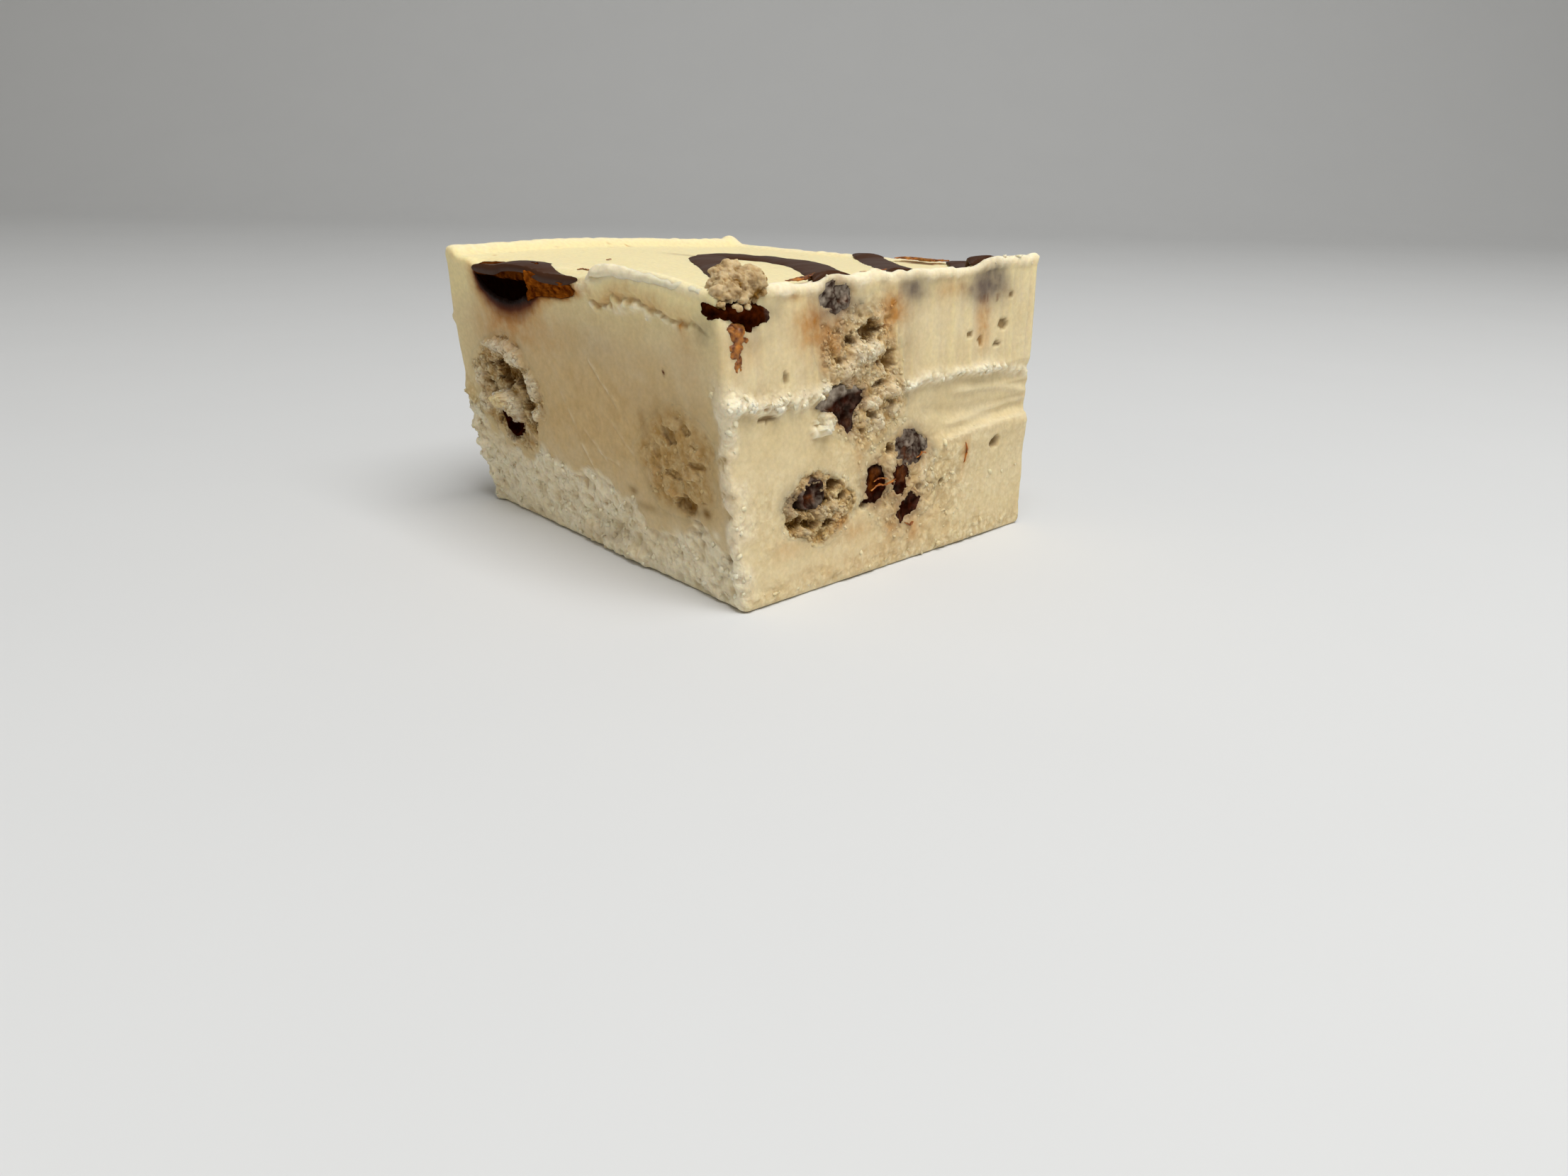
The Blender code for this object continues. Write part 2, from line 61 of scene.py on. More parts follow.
# Noise and soft shapes, all on arrays of points.
def hashed(cells, seed):
    mix = cells[:, 0] * 73856093 ^ cells[:, 1] * 19349663 ^ cells[:, 2] * 83492791
    mix = (mix ^ seed * 961748927) & 0xFFFFFFFF
    mix = (mix ^ mix >> 15) * 2246822519 & 0xFFFFFFFF
    mix = (mix ^ mix >> 13) * 3266489917 & 0xFFFFFFFF
    return ((mix ^ mix >> 16) & 0xFFFFFF) / 0xFFFFFF


def latticeNoise(points, cell, seed):
    place = points / cell
    base = np.floor(place).astype(np.int64)
    part = place - base
    part = part * part * (3 - 2 * part)
    total = np.zeros(len(points))
    for corner in itertools.product((0, 1), repeat=3):
        weight = np.prod(np.where(corner, part, 1 - part), axis=1)
        total += weight * (hashed(base + corner, seed) * 2 - 1)
    return total  # from -1 to 1


def unevenness(points, cell, seed, octaves=3):
    return sum(latticeNoise(points, cell / 2 ** k, seed + 7 * k) * 0.6 ** k for k in range(octaves))


def grains(points, cell, seed):
    # uneven grains packed together: 1 on top of each, 0 in the clefts between them
    pulled = np.stack([latticeNoise(points, cell * 0.7, seed + 31 + axis) for axis in range(3)],
                      axis=1)
    place = points / cell + 0.35 * pulled
    base = np.floor(place).astype(np.int64)
    nearest = np.full(len(points), 9.0)
    for offset in itertools.product((-1, 0, 1), repeat=3):
        cells = base + offset
        jitter = np.stack([hashed(cells, seed + axis) for axis in range(3)], axis=1)
        nearest = np.minimum(nearest, np.linalg.norm(cells + jitter - place, axis=1))
    return np.sqrt(limited(1 - (nearest / 0.85) ** 2))


def swells(points, *waves):
    return sum(high * latticeNoise(points, cell, seed) for high, cell, seed in waves)


def stretched(s, t, wide, long, seed):
    # noise drawn out along one way of a side
    return latticeNoise(np.stack([s / wide, 0 * s, t / long], axis=1), 1.0, seed)


def limited(values):
    return np.clip(values, 0, 1)


def bell(away, width):
    return np.exp(-((away / width) ** 2))


def ramp(values, start, end):
    part = limited((values - start) / (end - start))
    return part * part * (3 - 2 * part)


def reach(s, t, centre, half):
    return ((s - centre[0]) / half[0]) ** 2 + ((t - centre[1]) / half[1]) ** 2


def mound(s, t, centre, half):
    return limited(1 - reach(s, t, centre, half)) ** 1.3


def softSpot(s, t, centre, half):
    return np.exp(-1.5 * reach(s, t, centre, half))


def lineAt(s, line):
    # the height of a line of points over each place along a side
    return np.interp(s, *zip(*line))


def alongLine(s, t, line, width):
    # 1 on a line that runs from left to right, falling off above and below it
    first, last = line[0][0], line[-1][0]
    ends = ramp(s, first - 1.2, first + 0.8) * ramp(s, last + 1.2, last - 0.8)
    return bell(t - lineAt(s, line), width) * ends


def streak(s, t, start, end, width):
    start, end = np.array(start), np.array(end)
    run = end - start
    places = np.stack([s, t], axis=1) - start
    part = places @ run / (run @ run)
    off = np.abs(places @ np.array([-run[1], run[0]])) / np.linalg.norm(run)
    return bell(off, width) * ramp(part, -0.05, 0.06) * ramp(part, 1.05, 0.94)


def smoothLine(controls, steps):
    ends = [controls[0], *controls, controls[-1]]
    points = []
    for index in range(len(controls) - 1):
        a, b, c, d = (np.array(ends[index + k], float) for k in range(4))
        for u in np.linspace(0, 1, steps, endpoint=False):
            points.append(0.5 * (2 * b + (c - a) * u + (2 * a - 5 * b + 4 * c - d) * u ** 2
                                 + (3 * b - a - 3 * c + d) * u ** 3))
    points.append(np.array(controls[-1], float))
    return np.array(points)


# The top, and the step from box space to the leaning square.
top = {
    "level": 34.05,
    "reach": 4.0,  # how far down the sides the top's ups and downs are felt
    "backFall": 1.05, "leftRim": 1.1, "backRim": 0.35, "frontCurl": 1.2, "frontDip": 1.0,
}


def topHeight(x, y):
    places = np.stack([x, y, 0 * x], axis=1)
    height = top["level"] + 0.14 * latticeNoise(places, 15.0, 61)
    height -= top["backFall"] * ramp(y, 22.0, block["depth"]) * (1 - 0.8 * ramp(x, 42.0, 56.0))
    height += top["leftRim"] * ramp(x, 3.2, 0.6) + top["backRim"] * ramp(y, 49.3, 51.0)
    curled = ramp(x, 34.0, 37.5) * ramp(x, 58.0, 41.0)
    height += top["frontCurl"] * curled * ramp(y, 2.8, 0.7)
    dragged = ramp(x, 4.0, 8.0) * ramp(x, 34.0, 25.0)
    height -= top["frontDip"] * dragged * ramp(y, 3.6, 0.4)
    burr = 0.30 + 0.4 * ramp(y, 12.0, 18.0) - 0.3 * ramp(y, 30.0, 36.0)
    burr += 0.75 * ramp(y, 39.0, 42.5) + 0.34 * latticeNoise(places, 3.2, 71)
    burr += 0.22 * latticeNoise(places, 1.2, 72)
    return height + burr * ramp(x, 52.6, 54.4) * ramp(y, 4.0, 8.0)


def placeInPart(points):
    u = (points[:, 0] / block["length"])[:, None]
    v = (points[:, 1] / block["depth"])[:, None]
    w = (points[:, 2] / block["height"])[:, None]
    flat = np.zeros((len(points), 2))
    for corners, part in ((block["baseCorners"], 1 - w), (block["topCorners"], w)):
        front = np.array(corners["front left"]) * (1 - u) + np.array(corners["front right"]) * u
        back = np.array(corners["back left"]) * (1 - u) + np.array(corners["back right"]) * u
        flat += part * (front * (1 - v) + back * v)
    belly = np.sin(np.pi * limited(w))
    flat[:, :1] -= block["leftBelly"] * belly * limited(1 - u) ** 2
    shift = topHeight(points[:, 0], points[:, 1]) - block["height"]
    height = points[:, 2] + shift * ramp(points[:, 2], block["height"] - top["reach"],
                                         block["height"])
    height -= block["rightSag"] * u[:, 0] * belly[:, 0]
    return np.column_stack([flat - block["middle"], height]) * mm


# Each side: which way it faces, and where its lower left corner is, as seen from outside.
sides = {
    "front": ((0, -1, 0), (0.0, 0.0)),
    "right": ((1, 0, 0), (block["length"], 0.0)),
    "back": ((0, 1, 0), (block["length"], block["depth"])),
    "left": ((-1, 0, 0), (0.0, block["depth"])),
}


def onSide(side, s, t, out=0.0):
    # box space, from millimetres along a side, up it and out of it
    outward = np.array(sides[side][0], float)
    along = np.cross((0, 0, 1), outward)
    start = np.array([*sides[side][1], 0.0])
    out = np.zeros(len(s)) + out
    return (start + along * s[:, None] + np.array([0, 0, 1.0]) * t[:, None]
            + outward * out[:, None])


def alongSide(side, points):
    outward = np.array(sides[side][0], float)
    return (points - np.array([*sides[side][1], 0.0])) @ np.cross((0, 0, 1), outward)


doughLumps = {  # side, centre along it and up it, half sizes and depth, seed
    "dough_front_left": ("front", (11.0, 17.0), (8.3, 7.3, 6.0), 11),
    "dough_front_right": ("front", (45.4, 15.4), (6.8, 5.6, 4.5), 12),
    "dough_right_upper": ("right", (20.2, 24.2), (6.9, 7.4, 6.0), 13),
    "dough_right_lower": ("right", (12.3, 10.2), (4.9, 3.4, 4.5), 14),
    "dough_right_chips": ("right", (25.6, 10.9), (6.2, 6.1, 5.0), 15),
    "dough_back_upper": ("back", (17.5, 21.0), (7.4, 6.4, 5.5), 16),
    "dough_back_lower": ("back", (38.5, 11.5), (6.0, 4.6, 4.5), 17),
    "dough_left_middle": ("left", (19.0, 18.5), (6.6, 7.2, 5.5), 18),
}
chipOutlines = {  # side, broken outline of each piece of chocolate, how far it stands out
    "chipFrontLeft": ("front", ((9.0, 14.2), (10.4, 14.7), (13.0, 14.4), (12.7, 12.7),
                                (10.9, 11.5), (9.5, 12.4)), -1.1),
    "chipRightUpper": ("right", ((12.7, 21.6), (14.7, 22.7), (17.5, 23.3), (19.9, 22.7),
                                 (20.1, 21.5), (18.5, 20.3), (18.1, 18.7), (17.5, 17.7),
                                 (16.5, 19.4), (15.4, 20.7), (13.9, 21.0)), 0.05),
    "chipRightLower": ("right", ((9.7, 12.1), (11.4, 13.6), (12.9, 13.1), (13.0, 11.4),
                                 (11.8, 10.5), (10.1, 10.8)), -0.7),
    "chipCrystals": ("right", ((25.7, 16.0), (27.2, 16.8), (28.9, 16.7), (31.3, 15.3),
                               (30.9, 13.9), (29.7, 13.0), (27.6, 12.7), (25.7, 13.9)), 0.12),
    "chipSmall": ("right", ((25.3, 12.8), (27.0, 13.1), (27.6, 11.6), (27.3, 10.0), (26.4, 9.1),
                            (25.2, 9.6), (24.9, 11.2)), -0.1),
    "chipShaved": ("right", ((20.7, 13.2), (22.4, 13.8), (23.7, 12.2), (23.5, 10.2), (21.8, 8.5),
                             (20.4, 9.4), (20.2, 11.5)), 0.0),
    "chipRound": ("right", ((25.9, 8.2), (28.3, 9.1), (29.8, 8.0), (29.0, 6.6), (27.2, 6.0),
                            (25.9, 5.4), (25.5, 6.8)), 0.0),
    "cutDrizzleEnd": ("right", ((13.9, 33.0), (14.7, 33.9), (17.4, 33.9), (18.4, 33.2),
                                (17.9, 32.0), (15.9, 31.3), (14.2, 31.9)), -0.05),
    "chipBackLeft": ("back", ((13.7, 22.4), (15.2, 24.3), (17.5, 23.4), (16.8, 21.6),
                              (14.9, 21.3)), 0.15),
    "chipBackRight": ("back", ((19.0, 19.0), (20.6, 20.4), (21.9, 18.9), (20.9, 17.2),
                               (19.4, 17.5)), 0.1),
    "chipBackLower": ("back", ((37.8, 11.1), (39.8, 12.4), (41.3, 11.0), (39.7, 9.8)), 0.0),
    "chipLeftUpper": ("left", ((16.5, 20.3), (17.9, 22.3), (19.5, 21.2), (19.2, 19.0),
                               (17.5, 18.5)), 0.1),
    "chipLeftLower": ("left", ((19.0, 15.2), (20.7, 16.4), (22.2, 15.0), (20.6, 14.0)), 0.0),
}
cutSlab = ("front", ((7.0, 34.7), (7.2, 33.0), (7.6, 31.9), (8.8, 30.6), (11.3, 29.7),
                     (14.5, 29.5), (18.6, 30.2), (21.0, 30.8), (26.0, 31.0), (28.6, 31.7),
                     (29.4, 32.6), (28.6, 33.6), (26.0, 34.3), (20.0, 34.9), (13.0, 34.9)), 0.1)
chipDepth = 1.3
# An inset is kept as the distance from its centre to its rim in each of these directions.
rimAngles = np.linspace(-math.pi, math.pi, 721)


def rimByAngle(offsets):
    turn = np.arctan2(offsets[:, 1], offsets[:, 0])
    order = np.argsort(turn)
    return np.interp(rimAngles, turn[order], np.linalg.norm(offsets, axis=1)[order],
                     period=2 * math.pi)


def lumpInset(side, centre, half, seed):
    turn = np.linspace(0, 2 * math.pi, 721)[:-1]
    edge = np.stack([np.cos(turn), np.sin(turn), 0 * turn], axis=1)
    uneven = 1 + 0.24 * latticeNoise(edge * 1.9, 1.0, seed)
    uneven += 0.04 * latticeNoise(edge * 9.0, 1.0, seed + 50)
    return {"side": side, "centre": centre, "depth": half[2],
            "rim": rimByAngle(edge[:, :2] * np.array(half[:2]) * uneven[:, None])}


def chipInset(side, outline, stand):
    corners = np.array(outline)
    centre = corners.mean(axis=0)
    loop = np.vstack([corners, corners[:1]]) - centre
    edge = np.concatenate([np.linspace(a, b, 40, endpoint=False) for a, b in zip(loop, loop[1:])])
    rim = rimByAngle(edge)
    places = np.stack([np.cos(rimAngles) * rim, np.sin(rimAngles) * rim, 0 * rim + centre[0]],
                      axis=1)
    rim += 0.14 * unevenness(places, 1.1, 190)
    return {"side": side, "centre": tuple(centre), "depth": chipDepth, "stand": stand, "rim": rim}


def rimDistance(inset, s, t):
    # millimetres outside the rim, less than 0 inside it
    a, b = s - inset["centre"][0], t - inset["centre"][1]
    return np.hypot(a, b) - np.interp(np.arctan2(b, a), rimAngles, inset["rim"])


lumpInsets = {name: lumpInset(*where) for name, where in doughLumps.items()}
chipInsets = {name: chipInset(*where) for name, where in chipOutlines.items()}
slabInset = chipInset(*cutSlab)


# What each side looks like: its relief in millimetres, and its soft marks.
sideSpots = {  # mark: centre along the side and up it, half sizes, strength
    "front": {
        "film": (((52.6, 30.4), (2.2, 2.0), 0.45), ((31.0, 26.5), (6.0, 3.0), 0.10)),
        "dough": (((45.9, 15.2), (8.4, 7.6), 0.95), ((10.5, 15.5), (9.5, 10.5), 0.40),
                  ((30.0, 18.5), (26.0, 11.5), 0.62)),
        "stain": (((27.0, 18.0), (34.0, 16.0), 0.08), ((19.0, 26.5), (7.0, 3.0), 0.30),
                  ((49.5, 29.0), (3.0, 3.5), 0.25), ((12.0, 26.4), (6.5, 3.6), 0.55),
                  ((48.8, 30.6), (0.35, 0.75), 1.0)),
        "seep": (((44.9, 25.3), (0.22, 0.3), 0.9),),
        # dark spots in the pits of the right lump of dough, under the step of the crumb line and
        # along the ledge at the base are painted shade; the widest darkens that whole lump, over
        # its own grey brown
        "hollowShadeAndDark": (((45.9, 15.2), (7.6, 7.4), 0.36), ((40.2, 17.0), (1.4, 4.6), 0.22),
                   ((45.0, 21.0), (4.5, 1.2), 0.20), ((44.0, 18.5), (1.0, 0.7), 0.9),
                   ((47.8, 19.7), (0.6, 0.7), 0.8),
                   ((41.7, 16.2), (0.5, 0.8), 0.5), ((46.6, 10.5), (1.9, 1.0), 1.0),
                   ((49.7, 10.7), (0.9, 0.7), 1.0), ((49.0, 15.9), (1.1, 0.35), 0.7),
                   ((36.4, 10.2), (1.1, 0.6), 0.6), ((53.1, 6.1), (0.8, 0.6), 0.8),
                   ((38.5, 8.6), (3.5, 0.7), 0.35), ((29.0, 2.2), (5.0, 0.9), 0.45)),
        # pale spots on the bumps of the right lump of dough are painted highlight; those below the
        # crumb line are pale crumbs
        "paleAndHighlight": (((47.2, 14.7), (1.5, 0.8), 0.9), ((40.8, 12.8), (1.2, 1.4), 0.6),
                  ((44.0, 11.6), (1.6, 0.4), 0.8), ((43.9, 6.3), (1.3, 1.2), 0.8),
                  ((49.6, 6.2), (1.5, 0.8), 0.8), ((51.0, 8.4), (0.8, 0.6), 0.8),
                  ((9.0, 30.0), (1.0, 1.0), 0.2)),
    },
    "right": {
        "stain": (((12.6, 30.4), (3.0, 3.0), 0.95), ((15.4, 28.9), (2.2, 2.4), 0.85),
                  ((13.6, 26.6), (1.4, 2.6), 0.30),
                  ((10.2, 33.4), (1.4, 0.6), 0.60), ((25.0, 31.0), (2.5, 2.2), 1.0),
                  ((24.2, 28.8), (1.0, 2.4), 0.35), ((35.6, 32.4), (3.8, 1.3), 0.50),
                  ((41.0, 28.6), (1.6, 4.2), 0.65), ((24.4, 5.0), (1.8, 2.2), 0.45),
                  ((28.5, 4.2), (1.6, 2.2), 0.60), ((17.5, 6.0), (4.5, 1.4), 0.30),
                  ((7.0, 6.3), (2.6, 1.5), 0.25), ((38.2, 12.8), (0.8, 1.6), 0.80),
                  ((38.0, 10.6), (0.5, 1.8), 0.40), ((19.2, 15.2), (1.0, 2.6), 0.35),
                  ((15.6, 7.8), (1.3, 1.0), 0.80), ((2.6, 28.6), (2.6, 2.2), 0.35),
                  ((31.8, 5.5), (4.0, 2.0), 0.15), ((45.0, 31.2), (3.0, 1.0), 0.12),
                  ((20.0, 2.4), (14.0, 2.4), 0.16)),
        "film": (((16.1, 32.4), (3.8, 2.8), 0.95), ((28.5, 32.8), (3.4, 2.0), 0.92),
                 ((41.6, 32.4), (4.9, 2.6), 1.0), ((41.6, 32.6), (4.0, 2.2), 0.9),
                 ((17.6, 23.1), (3.0, 1.3), 0.45),
                 ((8.4, 11.7), (2.3, 2.2), 0.55), ((28.2, 16.7), (3.6, 1.3), 0.50),
                 ((31.9, 14.2), (1.1, 2.0), 0.50), ((25.3, 10.3), (3.2, 3.6), 0.40),
                 ((20.0, 11.4), (1.1, 2.2), 0.45), ((6.9, 32.2), (1.6, 1.8), 0.50),
                 ((3.8, 29.6), (3.2, 1.4), 0.28), ((13.9, 27.4), (1.7, 4.6), 0.15),
                 ((27.6, 27.0), (1.4, 3.6), 0.22), ((20.2, 31.6), (3.8, 1.2), 0.20)),
        "dough": (((20.4, 25.0), (8.6, 7.8), 0.40), ((22.0, 19.0), (5.0, 3.4), 0.40),
                  ((12.6, 9.8), (6.4, 4.8), 0.42), ((26.0, 10.5), (7.0, 7.0), 0.35)),
        # two thin dark lines just below the folds at the far end: painted shadow under them
        "hollowShadeAndDark": (((48.5, 18.2), (3.2, 0.35), 0.35), ((49.0, 20.1), (2.4, 0.3), 0.25)),
    },
    "back": {
        "film": (((9.0, 32.2), (2.6, 1.5), 0.80), ((22.0, 32.2), (2.4, 1.5), 0.70),
                 ((39.0, 10.8), (3.4, 3.0), 0.30)),
        "stain": (((11.0, 29.8), (1.8, 2.6), 0.50), ((24.0, 29.6), (1.5, 2.4), 0.40),
                  ((36.0, 7.0), (3.0, 1.8), 0.30)),
        "dough": (((17.5, 21.0), (9.4, 8.4), 0.40), ((38.5, 11.5), (7.2, 5.6), 0.35)),
        "hollowShadeAndDark": (((46.0, 20.0), (0.9, 0.8), 0.6), ((30.5, 15.6), (1.2, 0.7), 0.5)),
    },
    "left": {
        "film": (((18.4, 17.8), (5.0, 5.0), 0.25), ((36.0, 28.0), (4.0, 2.5), 0.18)),
        "stain": (((40.0, 31.0), (5.0, 2.0), 0.30), ((20.5, 11.0), (2.0, 2.0), 0.30)),
        "dough": (((19.0, 18.5), (8.6, 9.2), 0.40), ((38.0, 9.0), (7.0, 4.0), 0.35)),
        "hollowShadeAndDark": (((33.0, 20.5), (0.9, 0.9), 0.6), ((40.5, 8.6), (2.2, 1.0), 0.6)),
    },
}
frontCut = {
    # the waxy cut ends along this ragged line, and crumbs show below it
    "crumbLine": ((-4.0, 15.5), (2.5, 14.0), (5.0, 11.0), (10.0, 9.6), (17.7, 10.1), (24.0, 9.4),
                  (30.7, 9.4), (36.3, 10.0), (37.4, 7.9), (44.0, 7.6), (50.0, 8.2), (56.0, 6.0)),
    "lip": ((30.5, 32.4), (32.6, 31.3), (34.5, 30.9), (37.0, 31.4), (40.0, 31.6), (44.0, 31.2),
            (47.0, 30.7), (50.0, 30.5), (54.5, 29.6)),
    # start, end, width and depth
    "scratches": (((30.0, 24.4), (34.8, 19.9), 0.30, 0.10),
                  ((26.3, 13.5), (28.8, 10.0), 0.30, 0.14),
                  ((29.3, 13.4), (33.8, 12.6), 0.25, 0.08),
                  ((27.5, 15.5), (31.5, 12.4), 0.22, 0.06),
                  ((22.5, 21.0), (26.5, 14.0), 0.22, 0.05),
                  ((33.0, 18.0), (37.0, 14.5), 0.22, 0.05)),
    # start, end, width and height of the ledge at the base and the groove above it
    "ledge": (((23.0, 1.5), (37.0, 1.2), 1.6, 0.55), ((25.0, 4.4), (37.0, 3.4), 1.1, -0.7)),
    "burrShift": (0.3, 0.2),  # from each scratch to the burr beside it
    "slabPocket": 1.2,  # how deep the front falls back behind the slab of chocolate
}
rightCut = {
    "lowKnifeLine": ((-1.0, 24.4), (1.3, 23.3), (5.8, 22.6), (11.1, 22.7), (14.4, 23.2)),
    "farKnifeLine": ((24.0, 22.2), (27.5, 22.2), (31.0, 22.7), (35.6, 22.6), (40.3, 22.7),
                     (45.3, 22.4), (48.5, 21.7), (52.5, 20.5)),
    "fold": ((36.0, 20.6), (44.5, 20.0), (48.0, 19.5), (52.5, 18.5)),
    "lowFold": ((35.0, 16.6), (43.1, 17.3), (48.0, 17.7), (52.5, 17.7)),
    "secondLine": ((31.0, 14.2), (35.4, 15.1), (40.8, 15.6), (45.8, 15.9), (52.5, 15.8)),
    # centre, half sizes and depth of each small hole
    "holes": (((44.3, 12.9), (1.1, 0.9), 0.9), ((45.0, 27.7), (1.0, 0.7), 0.45),
              ((43.8, 25.4), (0.9, 0.4), 0.4), ((40.4, 26.0), (0.5, 0.8), 0.3),
              ((24.4, 15.2), (0.8, 0.8), 0.8), ((19.9, 9.2), (1.1, 0.6), 0.9),
              ((38.4, 27.0), (0.7, 0.4), 0.35), ((46.2, 31.0), (0.7, 0.3), 0.3),
              ((8.2, 25.4), (0.5, 0.8), 0.3), ((5.6, 21.4), (1.6, 0.4), 0.3),
              ((33.8, 9.6), (0.7, 0.5), 0.4)),
    # centre, half sizes and height of each clod of fudge on the knife line
    "clods": (((13.5, 20.0), (1.5, 1.1), 0.8), ((12.6, 19.1), (1.0, 0.7), 0.5)),
    "darkDrags": (40.2, 41.1, 41.6, 43.3, 43.8),  # thin, under a cut end of drizzle
    # centre, half sizes and strength
    "crumblyPlaces": (((21.0, 19.5), (6.5, 4.5), 0.9), ((20.6, 27.0), (6.5, 5.5), 0.55),
                      ((33.5, 9.5), (6.0, 6.5), 0.8), ((14.0, 10.0), (6.5, 5.5), 0.75),
                      ((25.5, 9.0), (6.5, 7.5), 0.6), ((6.0, 23.0), (6.0, 1.6), 0.6),
                      ((4.0, 10.0), (3.0, 8.0), 0.35)),
}


def noLook(s):
    return {name: np.zeros(len(s)) for name in lookNames}


def cutSide(side, s, t, p):
    # a cut side as it is round the lumps: with room for each piece of chocolate, and the dark
    # that shines through the fudge beside it
    out, look = sideLooks[side](s, t, p)
    ragged = 0.26 * unevenness(p, 1.1, 95)
    for inset in chipInsets.values():
        if inset["side"] == side:
            far = rimDistance(inset, s, t)
            out = out - (1.1 - min(inset["stand"], 0)) * ramp(far + ragged, 0.08, -0.20)
            near = bell(np.maximum(far, 0), 0.85) * (0.8 + ragged)
            look["film"] = np.maximum(look["film"], 0.50 * near)
            look["stain"] = np.maximum(look["stain"], 0.35 * near)
    return out, look


def addSpots(side, s, t, look, p):
    wander = 0.25 * latticeNoise(p, 1.1, 91)
    for mark, spots in sideSpots[side].items():
        clear = 1 - look[mark]
        for centre, half, strength in spots:
            spot = softSpot(s, t, centre, half)
            clear *= 1 - strength * limited(spot * (1 + wander))
        look[mark] = 1 - clear


def slabHollow(far, p):
    return frontCut["slabPocket"] * ramp(far + 0.2 * latticeNoise(p, 0.9, 19), 0.05, -0.45)


def frontBand(s, t, p, look):
    # the smooth band that the curled skin left behind, down to its ragged thin lip
    lip = lineAt(s, frontCut["lip"]) + 0.40 * unevenness(p, 1.6, 12)
    band = ramp(s, 31.6, 33.0) * ramp(s, 55.0, 50.0) * ramp(t, lip, lip + 0.25)
    edge = bell(t - lip + 0.20, 0.32) * ramp(s, 31.0, 32.6) * ramp(s, 52.0, 46.0)
    look["paleAndHighlight"] += 0.75 * edge * limited(0.6 + latticeNoise(p, 0.8, 14))
    look["paleAndHighlight"] += 0.7 * band * ramp(t, 33.2, 34.4)
    look["stain"] = 0.55 * band * ramp(s, 54.0, 44.0) * ramp(t - lip, 2.8, 0.3)
    bulge = 0.72 * ramp(t - lip, 0.15, 1.1) - 0.48 - 0.20 * ramp(t - lip, 2.0, 3.2)
    relief = band * ramp(s, 31.6, 33.4) * bulge
    return relief + 0.42 * edge * (0.6 + 0.6 * latticeNoise(p, 0.9, 13)), band, edge


def frontScratches(s, t, p, look):
    relief, shift = 0 * s, frontCut["burrShift"]
    for start, end, width, deep in frontCut["scratches"]:
        burr = streak(s, t, np.add(start, shift), np.add(end, shift), width)
        relief += deep * (1.1 * burr - 1.3 * streak(s, t, start, end, width))
        look["paleAndHighlight"] += 4.0 * deep * burr * limited(latticeNoise(p, 0.5, 15) + 0.5)
    for start, end, width, high in frontCut["ledge"]:
        relief += high * streak(s, t, start, end, width)
    return relief


def frontSlab(s, t, p, look):
    # room for the slab of chocolate, and the dark that seeps from it into the fudge
    far = rimDistance(slabInset, s, t)
    wide = 1.0 + 5.0 * softSpot(s, t, (12.4, 28.4), (8.0, 5.0)) + 0.25 * latticeNoise(p, 1.3, 16)
    look["seep"] = ramp(far, wide, -0.3) * ramp(s, 32.0, 28.0)
    look["stain"] = np.maximum(look["stain"], 0.90 * ramp(far, wide + 2.0, 0.4))
    return -slabHollow(far, p)


def frontSide(s, t, p):
    look = noLook(s)
    relief = swells(p, (0.16, 9.0, 1), (0.07, 3.1, 2), (0.03, 1.2, 3))
    relief -= 0.35 * softSpot(s, t, (46.4, 10.4), (2.6, 0.9))
    big, small = grains(p, 2.4, 4), grains(p, 1.1, 7)
    below = lineAt(s, frontCut["crumbLine"]) - t + 1.6 * unevenness(p, 3.4, 6)
    crumbly = ramp(below, -0.30, 0.9) * (0.72 + 0.28 * ramp(unevenness(p, 5.0, 10), -0.4, 0.2))
    relief += crumbly * (0.80 * big + 0.60 * small + 0.20 * latticeNoise(p, 0.6, 9) - 1.20)
    # painted shade in the clefts between the crumbs, and pale crumbs made lighter on their grain
    # tops as painted highlight
    look["hollowShadeAndDark"] = 0.12 * crumbly * limited(0.9 - 0.75 * big - 0.55 * small)
    look["paleAndHighlight"] = crumbly * (0.52 + 0.60 * limited(small - 0.3))
    out, band, edge = frontBand(s, t, p, look)
    relief += out + frontScratches(s, t, p, look) + frontSlab(s, t, p, look)
    # crumbs beside the slab, where the skin broke, down the left end and on the near corner
    broken = softSpot(s, t, (31.0, 33.4), (2.2, 1.6))
    left = ramp(s + 1.2 * latticeNoise(p, 2.2, 17), 4.6, 0.6) * ramp(t, 19.0, 15.0)
    corner = ramp(s + 0.5 * latticeNoise(p, 1.4, 18), 52.6, 54.4) * ramp(t, 28.0, 22.0)
    relief += broken * (0.5 * small + 0.3 * big - 0.2)
    relief += left * (0.9 * big + 0.4 * small - 0.35) + 0.42 * corner * small
    look["paleAndHighlight"] += 0.6 * broken * small + 0.85 * corner * limited(small + 0.1)
    look["skin"] = limited(0.8 * ramp(t, 26.0, 32.5) + 0.6 * ramp(s, 9.0, -1.0)
                           + 0.60 * band + 0.3 * crumbly
                           + 0.3 * ramp(s, 49.0, 55.0) * ramp(t, 10.0, 20.0))
    look["crumbs"] = limited(crumbly * (0.50 + 0.35 * big) + 0.6 * corner + 0.7 * left
                             + 0.15 * edge + 0.5 * broken + 0.02)
    addSpots("front", s, t, look, p)
    look["dough"] *= 1 - band
    return relief, look


